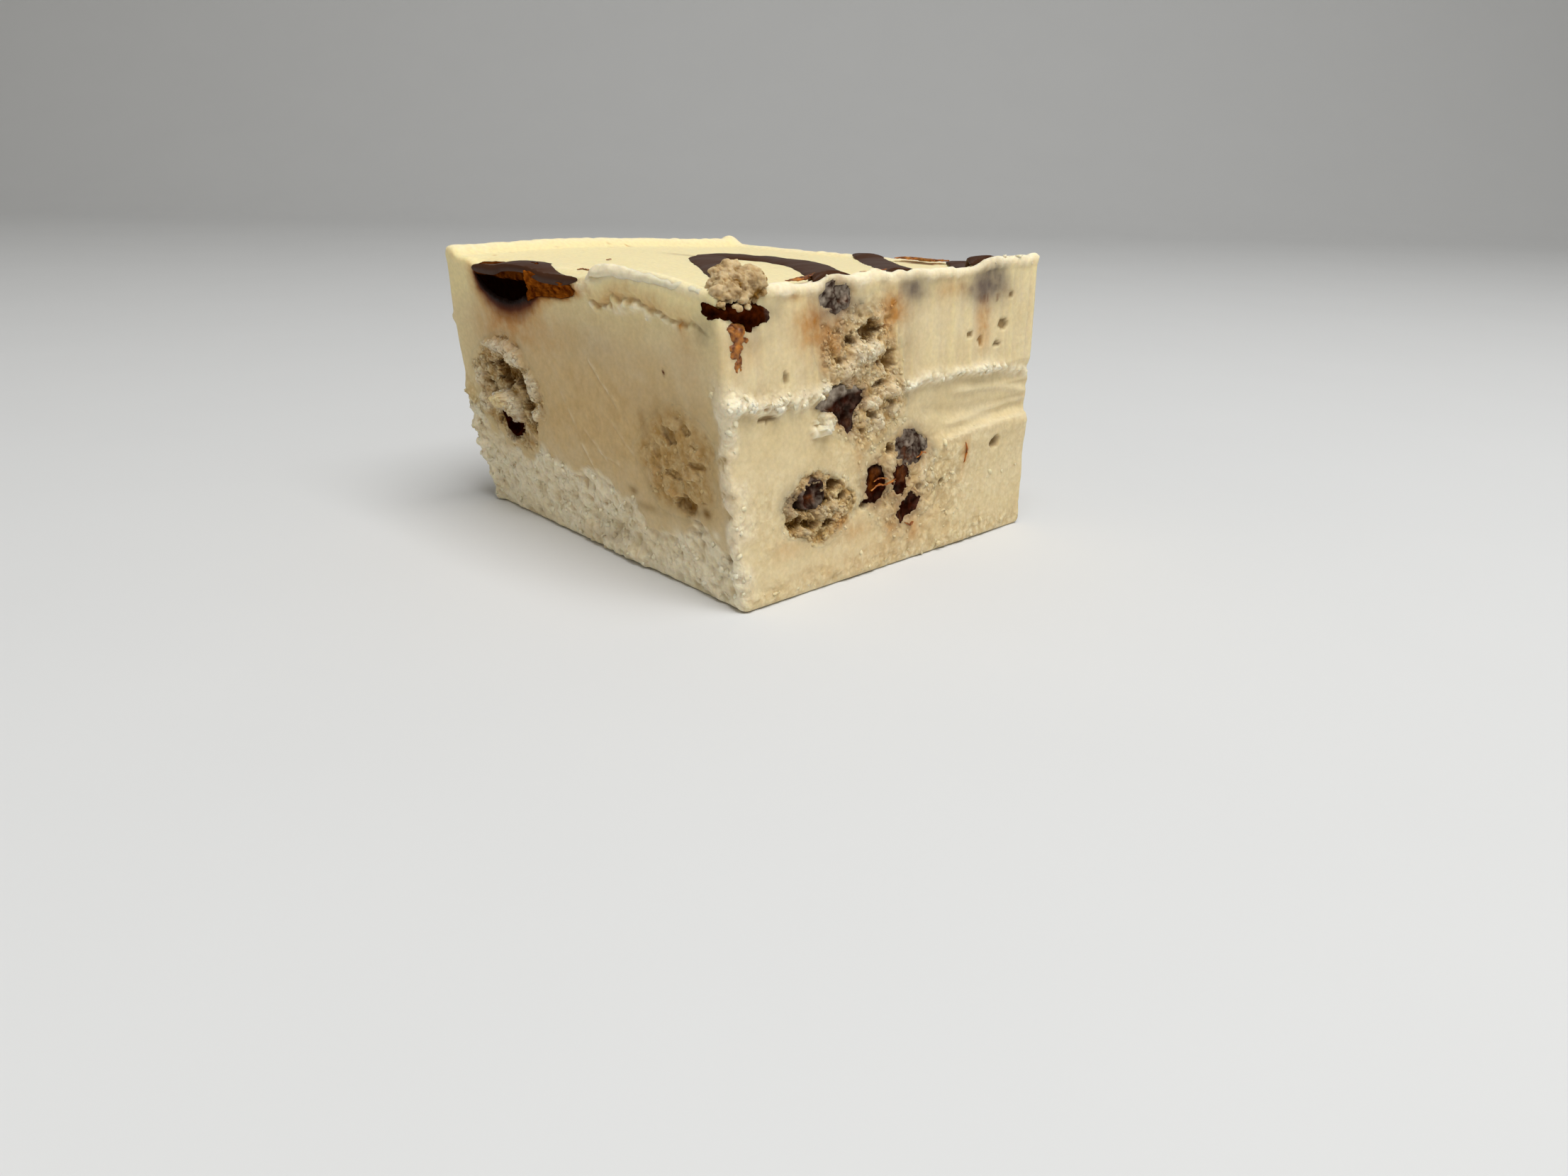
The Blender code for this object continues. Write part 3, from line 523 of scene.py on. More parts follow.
def rightFolds(s, t, look):
    # folds and torn layers where the soft fudge was dragged at the far end
    fold = alongLine(s, t, rightCut["fold"], 0.55)
    lowFold = alongLine(s, t, rightCut["lowFold"], 0.45)
    second = lineAt(s, rightCut["secondLine"])
    under = ramp(t, second + 0.25, second - 0.12) * ramp(s, 31.0, 37.0)
    # pale along the folds and along the upper edge of the step below the second line: painted
    # highlight on these ridges, over pale torn fudge
    look["paleAndHighlight"] += 0.30 * under * ramp(t, second - 0.8, second) + 0.22 * fold + 0.18 * lowFold
    look["crumbs"] += 0.15 * under
    torn = ramp(s, 30.0, 40.0) * softSpot(s, t, (46.0, 18.6), (19.0, 6.5))
    return (0.38 * fold + 0.34 * lowFold + 0.50 * under * ramp(t, second - 6.0, second - 0.2)
            - 0.40 * streak(s, t, (30.0, 18.6), (52.5, 16.6), 1.1)
            - 0.30 * ramp(s, 24.0, 30.0) * ramp(t, 22.4, 21.4) * ramp(t, second, second + 1.0)
            + 0.16 * torn * stretched(s, t, 3.5, 0.55, 37))


def rightHoles(s, t, p, look):
    relief, ragged = 0 * s, 0.35 * unevenness(p, 0.8, 35)
    for centre, half, deep in rightCut["holes"]:
        hole = ramp(1 - reach(s, t, centre, half) + ragged, 0.05, 0.5)
        relief -= deep * hole
        # each hole is darkened inside as painted shade
        look["hollowShadeAndDark"] = np.maximum(look["hollowShadeAndDark"], 0.75 * hole)
    return relief


def rightClods(s, t, p, small, look):
    relief, clod = 0 * s, 0 * s
    for centre, half, high in rightCut["clods"]:
        part = ramp(1 - reach(s, t, centre, half) + 0.8 * unevenness(p, 1.0, 38, 4), 0.0, 0.4)
        clod = np.maximum(clod, part)
        relief += high * part * (0.5 + 0.35 * small + 0.35 * grains(p, 0.6, 39))
    look["paleAndHighlight"] += 0.8 * clod
    return relief


def rightSide(s, t, p):
    look = noLook(s)
    relief = swells(p, (0.12, 8.0, 21), (0.06, 2.6, 22), (0.03, 1.0, 26))
    big, small = grains(p, 1.9, 23), grains(p, 0.95, 27)
    # the knife dragged the soft fudge downwards, and left a ragged line where it stopped
    drag = stretched(s, t, 0.55, 8.0, 28) + 0.6 * stretched(s, t, 1.6, 14.0, 29)
    relief += 0.11 * drag * ramp(t, 20.0, 25.0) + 0.06 * drag * ramp(t, 16.0, 10.0)
    knife = np.maximum(alongLine(s, t, rightCut["lowKnifeLine"], 0.95),
                       alongLine(s, t, rightCut["farKnifeLine"], 0.70))
    knife *= ramp(s, 52.5, 44.0) * 0.45 + 0.55
    ragged = np.clip(knife * (0.25 + 0.8 * small + 0.7 * unevenness(p, 1.1, 30)), 0, 1.3)
    relief += 0.75 * ragged + 0.3 * ramp(t, 21.8, 23.2)
    relief += rightFolds(s, t, look) + rightHoles(s, t, p, look)
    relief += rightClods(s, t, p, small, look)
    # crumbs along the base, and those that spread round the lumps
    base = 0.7 * ramp(t + 1.2 * unevenness(p, 3.0, 24), 4.2, 1.2)
    sandy = sum(strength * softSpot(s, t, centre, half)
                for centre, half, strength in rightCut["crumblyPlaces"])
    broken = limited(0.75 * base + sandy)
    relief += broken * (0.50 * big + 0.40 * small - 0.55)
    # painted shade in the clefts between the crumbs
    look["hollowShadeAndDark"] = np.maximum(look["hollowShadeAndDark"],
                                0.35 * broken * limited(0.9 - 0.6 * big - 0.6 * small))
    # crumbs up the near corner, and the soft burr that the knife pushed up along the top
    corner = ramp(s + 0.5 * latticeNoise(p, 1.4, 36), 3.2, 0.3) * ramp(t, 27.0, 23.0)
    corner *= limited(0.5 + latticeNoise(p, 2.4, 32))
    relief += corner * (0.50 * big + 0.40 * small - 0.25)
    burr = ramp(s, 5.0, 8.0) * ramp(t + 0.5 * latticeNoise(p, 2.2, 33), 33.5, 34.4)
    relief += burr * (0.20 + 0.45 * latticeNoise(p, 1.8, 34) + 0.30 * small
                      + 0.3 * big * ramp(s, 34.0, 40.0))
    # pale crumbs along the knife line, corner and burr; among the loose crumbs their grain tops are
    # lighter as painted highlight
    look["paleAndHighlight"] = limited(look["paleAndHighlight"] + ragged + 0.70 * corner + burr * (0.45 + 0.4 * small)
                            + 0.20 * broken * limited(small - 0.4))
    look["skin"] = limited(0.15 + 0.35 * ramp(t, 30.0, 34.0)
                           + 0.25 * drag * ramp(t, 20.0, 25.0))
    look["crumbs"] = limited(look["crumbs"] + 0.75 * ragged + 0.7 * corner + 0.35 * burr
                             + 0.65 * broken + 0.05)
    for place in rightCut["darkDrags"]:
        foot = (place + 0.1, 30.2 + 0.5 * (place % 1))
        look["seep"] += 0.4 * streak(s, t, (place, 31.4), foot, 0.13)
    addSpots("right", s, t, look, p)
    look["film"] *= 1 - 0.45 * burr
    look["stain"] *= 1 - 0.5 * burr
    return relief, look


def plainSide(side, s, t, p, seed):
    look = noLook(s)
    relief = swells(p, (0.16, 8.0, seed), (0.08, 2.8, seed + 1), (0.03, 1.1, seed + 4))
    big, small = grains(p, 2.4, seed + 3), grains(p, 1.1, seed + 5)
    relief += 0.08 * stretched(s, t, 0.6, 9.0, seed + 6) * ramp(t, 20.0, 27.0)
    # the knife line wanders, and breaks off in places
    wander = stretched(s, 0 * s, 11.0, 1.0, seed + 10)
    above = t - 24.6 - 1.3 * wander
    kept = ramp(wander + 0.8 * latticeNoise(p, 4.0, seed + 11), -0.5, 0.3)
    knife = bell(above, 0.6) * kept
    ragged = np.clip(knife * (0.2 + 0.8 * small + 0.7 * unevenness(p, 1.1, seed + 7)), 0, 1.3)
    relief += 0.65 * ragged + 0.28 * ramp(above, -0.9, 0.3)
    relief += 0.30 * bell(above + 4.6 + 1.5 * wander, 0.6) * ramp(s, 24.0, 10.0)
    below = 6.2 + 3.4 * wander - t + 1.8 * unevenness(p, 3.6, seed + 2)
    crumbly = ramp(below, -0.4, 1.2) * (0.70 + 0.30 * ramp(unevenness(p, 5.0, seed + 8), -0.4, 0.2))
    relief += crumbly * (0.80 * big + 0.60 * small - 1.15)
    # painted shade in the clefts between the crumbs
    look["hollowShadeAndDark"] = 0.25 * crumbly * limited(0.9 - 0.75 * big - 0.55 * small)
    rim = ramp(t + 0.7 * latticeNoise(p, 1.7, seed + 9), 32.4, 33.6)
    relief += 0.25 * rim * small
    look["paleAndHighlight"] = limited(0.7 * ragged + 0.45 * rim
                            + crumbly * (0.15 + 0.5 * limited(small - 0.3)))
    look["skin"] = limited(0.2 + 0.5 * ramp(t, 27.0, 33.0))
    look["crumbs"] = limited(0.7 * ragged + crumbly * (0.35 + 0.35 * big) + 0.2 * rim + 0.03)
    addSpots(side, s, t, look, p)
    return relief, look


sideLooks = {
    "front": frontSide,
    "right": rightSide,
    "back": lambda s, t, p: plainSide("back", s, t, p, 41),
    "left": lambda s, t, p: plainSide("left", s, t, p, 51),
}


def topLook(x, y, p):
    look = noLook(x)
    look["skin"] += 1.0
    pulled = latticeNoise(np.stack([x / 9.0, y / 0.7, 0 * x], axis=1), 1.0, 64)
    relief = 0.035 * latticeNoise(p, 1.4, 62) + 0.03 * pulled * ramp(y, 12.0, 2.0)
    rims = np.maximum(ramp(x, 2.4, 0.6), ramp(y, 49.4, 50.8))
    relief += rims * 0.12 * latticeNoise(p, 1.2, 63)
    burr = ramp(x, 52.4, 53.6) * ramp(y, 4.0, 8.0)
    # the raised rims along the left and back are paler as painted highlight of their sheen; the
    # burr near the right edge is pale crumbs
    look["paleAndHighlight"] = limited(0.35 * rims + 0.8 * burr
                            + 0.3 * ramp(pulled, 0.1, 0.8) * ramp(y, 9.0, 3.0))
    look["crumbs"] = (0.30 + 0.35 * ramp(y, 38.0, 42.0)) * burr
    look["film"] = 0.25 * softSpot(x, y, (18.0, 25.5), (4.0, 1.6))
    specks = ramp(grains(p, 2.6, 66), 0.985, 1.0) * ramp(latticeNoise(p, 7.0, 67), 0.0, 0.5)
    look["stain"] = 0.5 * softSpot(x, y, (17.8, 25.8), (3.2, 0.5)) + 0.7 * specks
    return relief, look


def addObject(name, data):
    made = bpy.data.objects.new(name, data)
    bpy.context.scene.collection.objects.link(made)
    return made


def setLook(mesh, look):
    for mark, values in look.items():
        values = limited(np.zeros(len(mesh.vertices)) + values)
        attribute = mesh.attributes.new(mark, "FLOAT", "POINT")
        attribute.data.foreach_set("value", values.astype(np.float32))


def makeMesh(name, points, faces, look, material):
    mesh = bpy.data.meshes.new(name)
    mesh.from_pydata(points.tolist(), [], faces)
    setLook(mesh, look)
    mesh.materials.append(material)
    mesh.shade_smooth()
    return addObject(name, mesh)


def settledMesh(piece):
    # the plain mesh that a piece's modifiers make of it
    bpy.context.view_layer.update()
    graph = bpy.context.evaluated_depsgraph_get()
    mesh = bpy.data.meshes.new_from_object(piece.evaluated_get(graph), depsgraph=graph)
    piece.modifiers.clear()
    return mesh


def gridLines(size, steps):
    edge = block["edgeRadius"]
    near = np.linspace(0, edge, block["edgeSteps"] + 1)[:-1]
    return np.concatenate([near, np.linspace(edge, size - edge, steps + 1), size - near[::-1]])


def blockGrid():
    sizes = (block["length"], block["depth"], block["height"])
    lines = [gridLines(size, steps) for size, steps in zip(sizes, block["steps"])]
    last = [len(line) - 1 for line in lines]
    index, corners, faces = {}, [], []
    skirt = block["edgeSteps"]  # rows of the base that are gridded, round its one large face

    def corner(key):
        if key not in index:
            index[key] = len(corners)
            corners.append([lines[axis][key[axis]] for axis in range(3)])
        return index[key]

    for axis, end in itertools.product(range(3), (False, True)):
        first, second = (axis + 1) % 3, (axis + 2) % 3
        isBase = axis == 2 and not end
        for a, b in itertools.product(range(last[first]), range(last[second])):
            if isBase and skirt <= a < last[first] - skirt and skirt <= b < last[second] - skirt:
                continue
            loop = []
            for da, db in ((0, 0), (1, 0), (1, 1), (0, 1)):
                key = [0, 0, 0]
                key[axis], key[first], key[second] = last[axis] * end, a + da, b + db
                loop.append(corner(tuple(key)))
            faces.append(loop if end else loop[::-1])
    right, back = last[0] - skirt, last[1] - skirt
    rim = ([(skirt, j) for j in range(skirt, back)] + [(i, back) for i in range(skirt, right)]
           + [(right, j) for j in range(back, skirt, -1)]
           + [(i, skirt) for i in range(right, skirt, -1)])
    faces.append([corner((i, j, 0)) for i, j in rim])
    return np.array(corners), faces


def blockSide(side, p):
    # a cut side of the block, with a pocket behind each lump of dough
    s, t = alongSide(side, p), p[:, 2]
    out, look = cutSide(side, s, t, p)
    for inset in lumpInsets.values():
        if inset["side"] == side:
            out = out - block["pocketDepth"] * ramp(rimDistance(inset, s, t), 0.35, -0.55)
    if side == "right":  # room for the loose crumb on the corner
        out = out - mound(s, t, *block["crumbRoom"])
    return out, look


def makeBlock(material):
    corners, faces = blockGrid()
    edge = block["edgeRadius"]
    high = np.array([block["length"], block["depth"], block["height"]]) - edge
    core = np.clip(corners, edge, high)
    normals = corners - core
    normals /= np.linalg.norm(normals, axis=1)[:, None]
    points = core + normals * edge
    relief, look = np.zeros(len(points)), noLook(points)
    for name in (*sides, "top"):
        outward = sides[name][0] if name in sides else (0, 0, 1)
        weight = limited(normals @ np.array(outward)) ** 2
        near = weight > 0
        p = points[near]
        out, marks = blockSide(name, p) if name in sides else topLook(p[:, 0], p[:, 1], p)
        relief[near] += weight[near] * out
        for mark in lookNames:
            look[mark][near] += weight[near] * limited(marks[mark])
    low = points[:, 2] <= edge * 0.5
    moved = points + normals * relief[:, None]
    moved[low, 2] = points[low, 2]
    moved[:, 2] = np.maximum(moved[:, 2], 0)
    return makeMesh("fudgeBlock", placeInPart(moved), faces, look, material)


def makePatch(name, inset, surface, material, spacing, overlap):
    # a round grid over an inset and a little past its rim, following the side and diving under
    # the fudge at its edge, closed behind by a coarser bowl; spacing and overlap in millimetres
    middle = float(inset["rim"].mean())
    around = max(24, int(2 * math.pi * middle / spacing))
    rings = max(8, int((overlap + middle) / spacing))
    turn = np.linspace(-math.pi, math.pi, around, endpoint=False)
    rim = np.interp(turn, rimAngles, inset["rim"])
    part = np.repeat(np.arange(1, rings + 1) / rings, around)
    turns, rims = np.tile(turn, rings), np.tile(rim, rings)
    away = part * (rims + overlap)
    midS, midT = inset["centre"]
    s = np.append(midS, midS + away * np.cos(turns))
    t = np.append(midT, midT + away * np.sin(turns))
    p = onSide(inset["side"], s, t)
    out, look = surface(s, t, p, np.append(-middle, away - rims))
    front = onSide(inset["side"], s, t, out)
    bowls, backs = 5, []
    for ring in range(1, bowls + 1):
        tilt = math.pi / 2 * ring / (bowls + 1)
        edge = slice(1 + (rings - 1) * around, 1 + rings * around)
        backs.append(onSide(inset["side"], midS + (s[edge] - midS) * math.cos(tilt),
                            midT + (t[edge] - midT) * math.cos(tilt),
                            out[edge] - inset["depth"] * math.sin(tilt)))
    pole = onSide(inset["side"], s[:1], t[:1], out[edge].mean() - inset["depth"])
    points = np.vstack([front, *backs, pole])
    faces = [(0, 1 + k, 1 + (k + 1) % around) for k in range(around)]
    for ring in range(rings + bowls - 1):
        low, high = 1 + ring * around, 1 + (ring + 1) * around
        faces += [(low + k, high + k, high + (k + 1) % around, low + (k + 1) % around)
                  for k in range(around)]
    low = 1 + (rings + bowls - 1) * around
    faces += [(low + k, len(points) - 1, low + (k + 1) % around) for k in range(around)]
    full = {mark: np.append(values, np.zeros(len(points) - len(front)))
            for mark, values in look.items()}
    return makeMesh(name, placeInPart(points), faces, full, material)


# bumps: centre, half sizes, height; pits: centre, half sizes, depth; smear: how far the knife
# wiped the dough over with fudge; rough: how much the grains stand out, and with them the painted
# shade in their clefts; brown: how dark the broken dough is, and how deep that painted shade; fade:
# over how many millimetres it passes into the fudge
doughForms = {
    "dough_front_left": {
        "bumps": (((11.2, 16.3), (2.4, 1.5), 2.5), ((13.0, 15.0), (1.3, 1.8), 1.7),
                  ((10.2, 23.5), (4.4, 1.2), 1.2), ((14.4, 22.4), (2.2, 1.4), 1.2),
                  ((17.6, 19.2), (1.3, 2.4), 1.0), ((18.2, 15.2), (1.2, 2.0), 0.9),
                  ((4.6, 18.6), (1.3, 1.6), 0.8), ((5.0, 14.8), (1.5, 1.6), 0.8),
                  ((9.2, 10.8), (2.8, 0.9), 0.6)),
        "pits": (((11.4, 19.8), (4.4, 1.7), 1.5), ((11.0, 13.2), (2.4, 1.4), 2.3),
                 ((15.8, 16.4), (1.3, 3.0), 1.2), ((7.7, 17.2), (1.1, 2.2), 1.1)),
        "smear": 0.15, "rough": 1.0, "brown": 0.05, "fade": 0.7},
    "dough_front_right": {
        "bumps": (((40.9, 12.9), (1.3, 1.6), 0.5), ((47.3, 14.8), (1.8, 0.9), 0.6),
                  ((49.0, 17.2), (1.0, 0.6), 0.35), ((43.8, 11.6), (1.7, 0.5), 0.5)),
        "pits": (((44.0, 18.4), (1.5, 1.0), 0.45), ((47.7, 19.6), (0.9, 1.0), 0.35),
                 ((46.6, 10.6), (2.6, 1.2), 0.7), ((49.8, 10.9), (1.5, 1.1), 0.6),
                 ((49.0, 15.9), (1.9, 0.5), 0.3), ((41.7, 16.3), (0.9, 1.4), 0.3),
                 ((44.6, 14.0), (1.4, 0.6), 0.35)),
        "smear": 0.05, "rough": 0.36, "brown": 0.75, "fade": 2.0},
    "dough_right_upper": {
        "bumps": (((20.6, 26.8), (3.2, 1.4), 0.7), ((18.2, 25.0), (2.0, 1.4), 0.4),
                  ((13.3, 20.0), (1.7, 1.3), 1.1), ((21.4, 20.9), (1.6, 0.9), 0.7),
                  ((24.2, 22.0), (1.4, 0.9), 0.6), ((22.6, 18.8), (1.3, 1.0), 0.6),
                  ((25.2, 19.6), (0.9, 0.8), 0.5), ((20.4, 30.0), (2.4, 0.4), 0.3)),
        "pits": (((20.9, 28.8), (2.6, 1.1), 1.3), ((18.0, 28.1), (1.4, 0.8), 1.1),
                 ((24.5, 25.6), (1.5, 1.3), 1.0), ((22.7, 25.4), (0.8, 0.6), 0.9),
                 ((16.4, 26.2), (0.8, 0.5), 0.6), ((15.2, 23.2), (2.2, 0.6), 0.9),
                 ((21.4, 19.6), (1.6, 0.6), 0.7), ((22.6, 23.1), (1.6, 0.5), 0.7),
                 ((19.9, 18.0), (0.8, 0.6), 0.6), ((24.4, 20.8), (0.9, 0.5), 0.6)),
        "smear": 0.40, "rough": 0.8, "brown": 0.0, "fade": 1.9},
    "dough_right_lower": {
        "bumps": (((12.4, 9.6), (1.7, 0.9), 0.8), ((14.3, 9.9), (1.0, 0.8), 0.6),
                  ((9.6, 7.9), (1.4, 0.6), 0.5), ((15.6, 9.3), (1.0, 0.9), 0.6),
                  ((12.2, 12.5), (1.2, 0.6), 0.4), ((8.2, 10.4), (0.9, 0.8), 0.4)),
        "pits": (((9.6, 11.0), (1.7, 0.8), 1.6), ((14.8, 12.4), (1.2, 1.1), 1.4),
                 ((15.9, 11.0), (0.9, 0.6), 1.0), ((8.7, 9.1), (1.5, 0.9), 1.2),
                 ((10.9, 8.5), (1.3, 0.7), 1.0), ((13.2, 10.9), (1.3, 0.5), 1.1),
                 ((13.5, 8.3), (1.0, 0.5), 0.9)),
        "smear": 0.1, "rough": 1.0, "brown": 0.5, "fade": 0.35},
    "dough_right_chips": {
        "bumps": (((24.6, 13.6), (1.1, 1.3), 0.3), ((30.6, 11.0), (1.2, 1.8), 0.4),
                  ((23.2, 7.0), (1.8, 1.2), 0.3), ((27.9, 5.2), (1.4, 0.6), 0.4)),
        "pits": (((19.9, 9.3), (1.2, 0.6), 1.4), ((24.3, 15.2), (0.8, 0.8), 1.0),
                 ((29.6, 9.6), (0.8, 0.6), 0.5)),
        "smear": 0.75, "rough": 0.45, "brown": 0.1, "fade": 3.0},
    "dough_back_upper": {
        "bumps": (((18.2, 24.6), (2.8, 1.4), 0.7), ((13.0, 19.0), (1.9, 1.5), 0.7),
                  ((21.8, 22.4), (1.4, 1.2), 0.5)),
        "pits": (((17.8, 21.0), (2.6, 1.4), 1.9), ((14.6, 16.8), (2.0, 0.9), 1.3),
                 ((12.4, 23.2), (1.1, 1.0), 1.1)),
        "smear": 0.2, "rough": 0.85, "brown": 0.15, "fade": 0.8},
    "dough_back_lower": {
        "bumps": (((36.4, 12.6), (1.9, 1.2), 0.6), ((41.4, 8.9), (1.5, 0.9), 0.5)),
        "pits": (((39.4, 10.8), (2.8, 1.5), 1.6), ((35.2, 10.2), (1.1, 0.9), 1.1)),
        "smear": 0.2, "rough": 0.85, "brown": 0.3, "fade": 0.7},
    "dough_left_middle": {
        "bumps": (((15.4, 22.4), (2.0, 1.2), 0.7), ((22.0, 18.6), (1.6, 1.6), 0.6)),
        "pits": (((18.6, 17.2), (2.2, 1.3), 1.8), ((16.0, 15.6), (1.2, 1.3), 1.3),
                 ((21.4, 22.0), (1.4, 0.9), 1.2)),
        "smear": 0.2, "rough": 0.9, "brown": 0.25, "fade": 0.9},
}


def doughSurface(name):
    forms, seed = doughForms[name], doughLumps[name][3] * 10
    side = doughLumps[name][0]

    def surface(s, t, p, far):
        out, under = cutSide(side, s, t, p)
        big, middling, small, tiny = (grains(p, size, seed + number)
                                      for number, size in enumerate((2.2, 1.2, 0.65, 0.36)))
        ragged = 0.42 * unevenness(p, 1.5, seed + 3, 4)
        form, deep = 0 * s, 0 * s
        for centre, half, high in forms["bumps"]:
            lump = limited(1 - reach(s, t, centre, half) + 0.9 * ragged) ** 0.6
            form = np.maximum(form, high * lump)
        for centre, half, low in forms["pits"]:
            pit = ramp(1 - np.sqrt(reach(s, t, centre, half)) + 1.1 * ragged, 0.0, 0.30)
            deep = np.maximum(deep, low * pit)
        inside = ramp(-far - 1.5 * ragged, -0.75, forms["fade"] - 0.6) * ramp(far, 1.0, 0.7)
        rough = (0.42 * (big - 0.75) + 0.44 * (middling - 0.7) + 0.34 * (small - 0.65)
                 + 0.18 * (tiny - 0.6) + 0.5 * ragged)
        out = (out + 0.015 + inside * (forms["rough"] * rough - 0.15 * forms["rough"]
                                      + form * (1 - 0.8 * limited(deep)))
               - inside * deep * (0.7 + 0.35 * big + 0.25 * middling))
        look = noLook(s)
        smear = forms["smear"] * ramp(latticeNoise(p, 2.6, seed + 5), -0.9, 0.7)
        shadedClefts = limited(0.85 - 0.45 * big - 0.40 * middling - 0.2 * small)
        lumpy = limited(form - 1.2)  # lumps of paler fudge in the dough
        look["dough"] = (1 - smear) * (1 - 0.8 * lumpy)
        # pits and the clefts between grains are darkened as painted shade, over the dough's own
        # ochre; the flat brown is its own darker colour
        look["hollowShadeAndDark"] = limited((0.98 - 0.30 * middling * small) * ramp(deep, 0.10, 0.9)
                                 + forms["rough"] * (0.34 + forms["brown"]) * shadedClefts
                                 * (1 - 0.9 * limited(form - 0.6))
                                 + 0.22 * forms["brown"])
        # raised lumps and grain tops are paler, partly pale flour and partly painted highlight
        look["paleAndHighlight"] = limited((0.75 * limited(form) * (0.4 + 0.6 * small)
                                 + 0.60 * forms["rough"] * limited(middling - 0.5))
                                * (1 - forms["brown"]) * (1 - 0.8 * lumpy))
        look["crumbs"] = limited(forms["rough"] * (0.70 + 0.55 * middling) * (1 - 0.7 * lumpy))
        # the higher lumps take the pale skin colour, partly paler fudge and partly painted
        # highlight
        look["skin"] = 0.8 * limited(form - 0.6)
        for mark in ("stain", "film", "seep"):
            look[mark] = under[mark] * (1 - 0.6 * ramp(deep, 0.1, 0.8))
        for mark in lookNames:
            look[mark] = look[mark] * inside + under[mark] * (1 - inside)
        return out - 0.07 * ramp(far, 0.8, 1.4) - 1.5 * ramp(far, 1.35, 1.7), look

    return surface


chipCoats = {  # how much film and crystal each piece wears
    "chipCrystals": 0.55, "chipRightUpper": 0.10, "cutDrizzleEnd": 0.65, "chipSmall": 0.04,
    "chipShaved": 0.03, "chipRound": 0.04, "chipRightLower": 0.25, "chipFrontLeft": 0.0,
    "chipBackLeft": 0.08, "chipBackRight": 0.08, "chipBackLower": 0.08, "chipLeftUpper": 0.08,
    "chipLeftLower": 0.08,
}


def chipSurface(name, seed):
    inset, coat = chipInsets[name], chipCoats[name]

    def surface(s, t, p, far):
        out, _ = sideLooks[inset["side"]](s, t, p)
        level = latticeNoise(p, 1.6, seed)
        crease = np.abs(latticeNoise(p, 1.1, seed + 1))
        granular = grains(p, 0.55, seed + 2)
        stand = inset["stand"] * ramp(-far, -0.1, 0.7) - 0.12 - 0.3 * min(inset["stand"], 0)
        out = (0.5 * out + 0.5 * out.mean() + stand + 0.14 * level - 0.25 * crease
               + (0.05 + 0.25 * coat) * granular - 1.6 * ramp(far, 0.30, 0.55))
        look = noLook(s)
        crystals = limited(granular - 0.45 + 0.5 * latticeNoise(p, 1.4, seed + 5))
        look["film"] = limited(coat * (0.15 + 1.5 * crystals))
        if name == "chipRightUpper":  # a grey bloom on its flat upper side
            bloom = ramp(t - 0.25 * (s - 16.5) + 0.5 * level, 21.7, 22.6)
            look["film"] = np.maximum(look["film"], 0.9 * bloom)
        look["stain"] = 0.30 * ramp(level, 0.05, 0.6) * ramp(-far, 0.1, 0.6)
        # darker in the creases as painted shade
        look["hollowShadeAndDark"] = limited(crease * 0.8)
        return out, look

    return surface


def slabSurface(s, t, p, far):
    out, _ = frontSide(s, t, p)
    shaved = ramp(s + 0.5 * unevenness(p, 1.4, 301) - 0.15 * (t - 30.5), 18.0, 19.0)
    band = ramp(t + 0.3 * unevenness(p, 1.1, 302), 33.2, 33.9) * ramp(s, 21.0, 17.0)
    grain = grains(p, 0.6, 303)
    out = (0.7 * (out + slabHollow(far, p)) - 0.05 + 0.20 * shaved * grain - 0.30 * (1 - shaved)
           + 0.30 * band + 0.12 * latticeNoise(p, 1.5, 304) + 0.06 * latticeNoise(p, 0.5, 305)
           - 1.6 * ramp(far, 0.25, 0.45))
    look = noLook(s)
    look["stain"] = limited(shaved * (0.45 + 0.35 * grain + 0.2 * ramp(t, 32.0, 33.4))
                            + 0.30 * band)
    look["hollowShadeAndDark"] = limited((1 - shaved) * (1 - 0.7 * band))
    return out, look


def addNode(tree, kind, inputs=None, **settings):
    # one node: its settings, and for each input a plain value or another node's output
    node = tree.nodes.new(kind)
    for key, value in settings.items():
        setattr(node, key, value)
    for key, value in (inputs or {}).items():
        if isinstance(value, bpy.types.NodeSocket):
            tree.links.new(value, node.inputs[key])
        else:
            node.inputs[key].default_value = value
    return node


def hexColour(code):
    channels = [int(code[k:k + 2], 16) / 255 for k in (0, 2, 4)]
    return tuple(c / 12.92 if c <= 0.04045 else ((c + 0.055) / 1.055) ** 2.4
                 for c in channels) + (1.0,)


def startTree(name, sizes):
    # a node group with a geometry input, named sizes with their values, and a geometry output
    tree = bpy.data.node_groups.new(name, "GeometryNodeTree")
    tree.interface.new_socket("Geometry", in_out="INPUT", socket_type="NodeSocketGeometry")
    for label, value in sizes.items():
        kind = {float: "NodeSocketFloat", int: "NodeSocketInt"}.get(type(value),
                                                                  "NodeSocketMaterial")
        socket = tree.interface.new_socket(label, in_out="INPUT", socket_type=kind)
        if value is not None:
            socket.default_value = value
    tree.interface.new_socket("Geometry", in_out="OUTPUT", socket_type="NodeSocketGeometry")
    return tree, tree.nodes.new("NodeGroupInput")


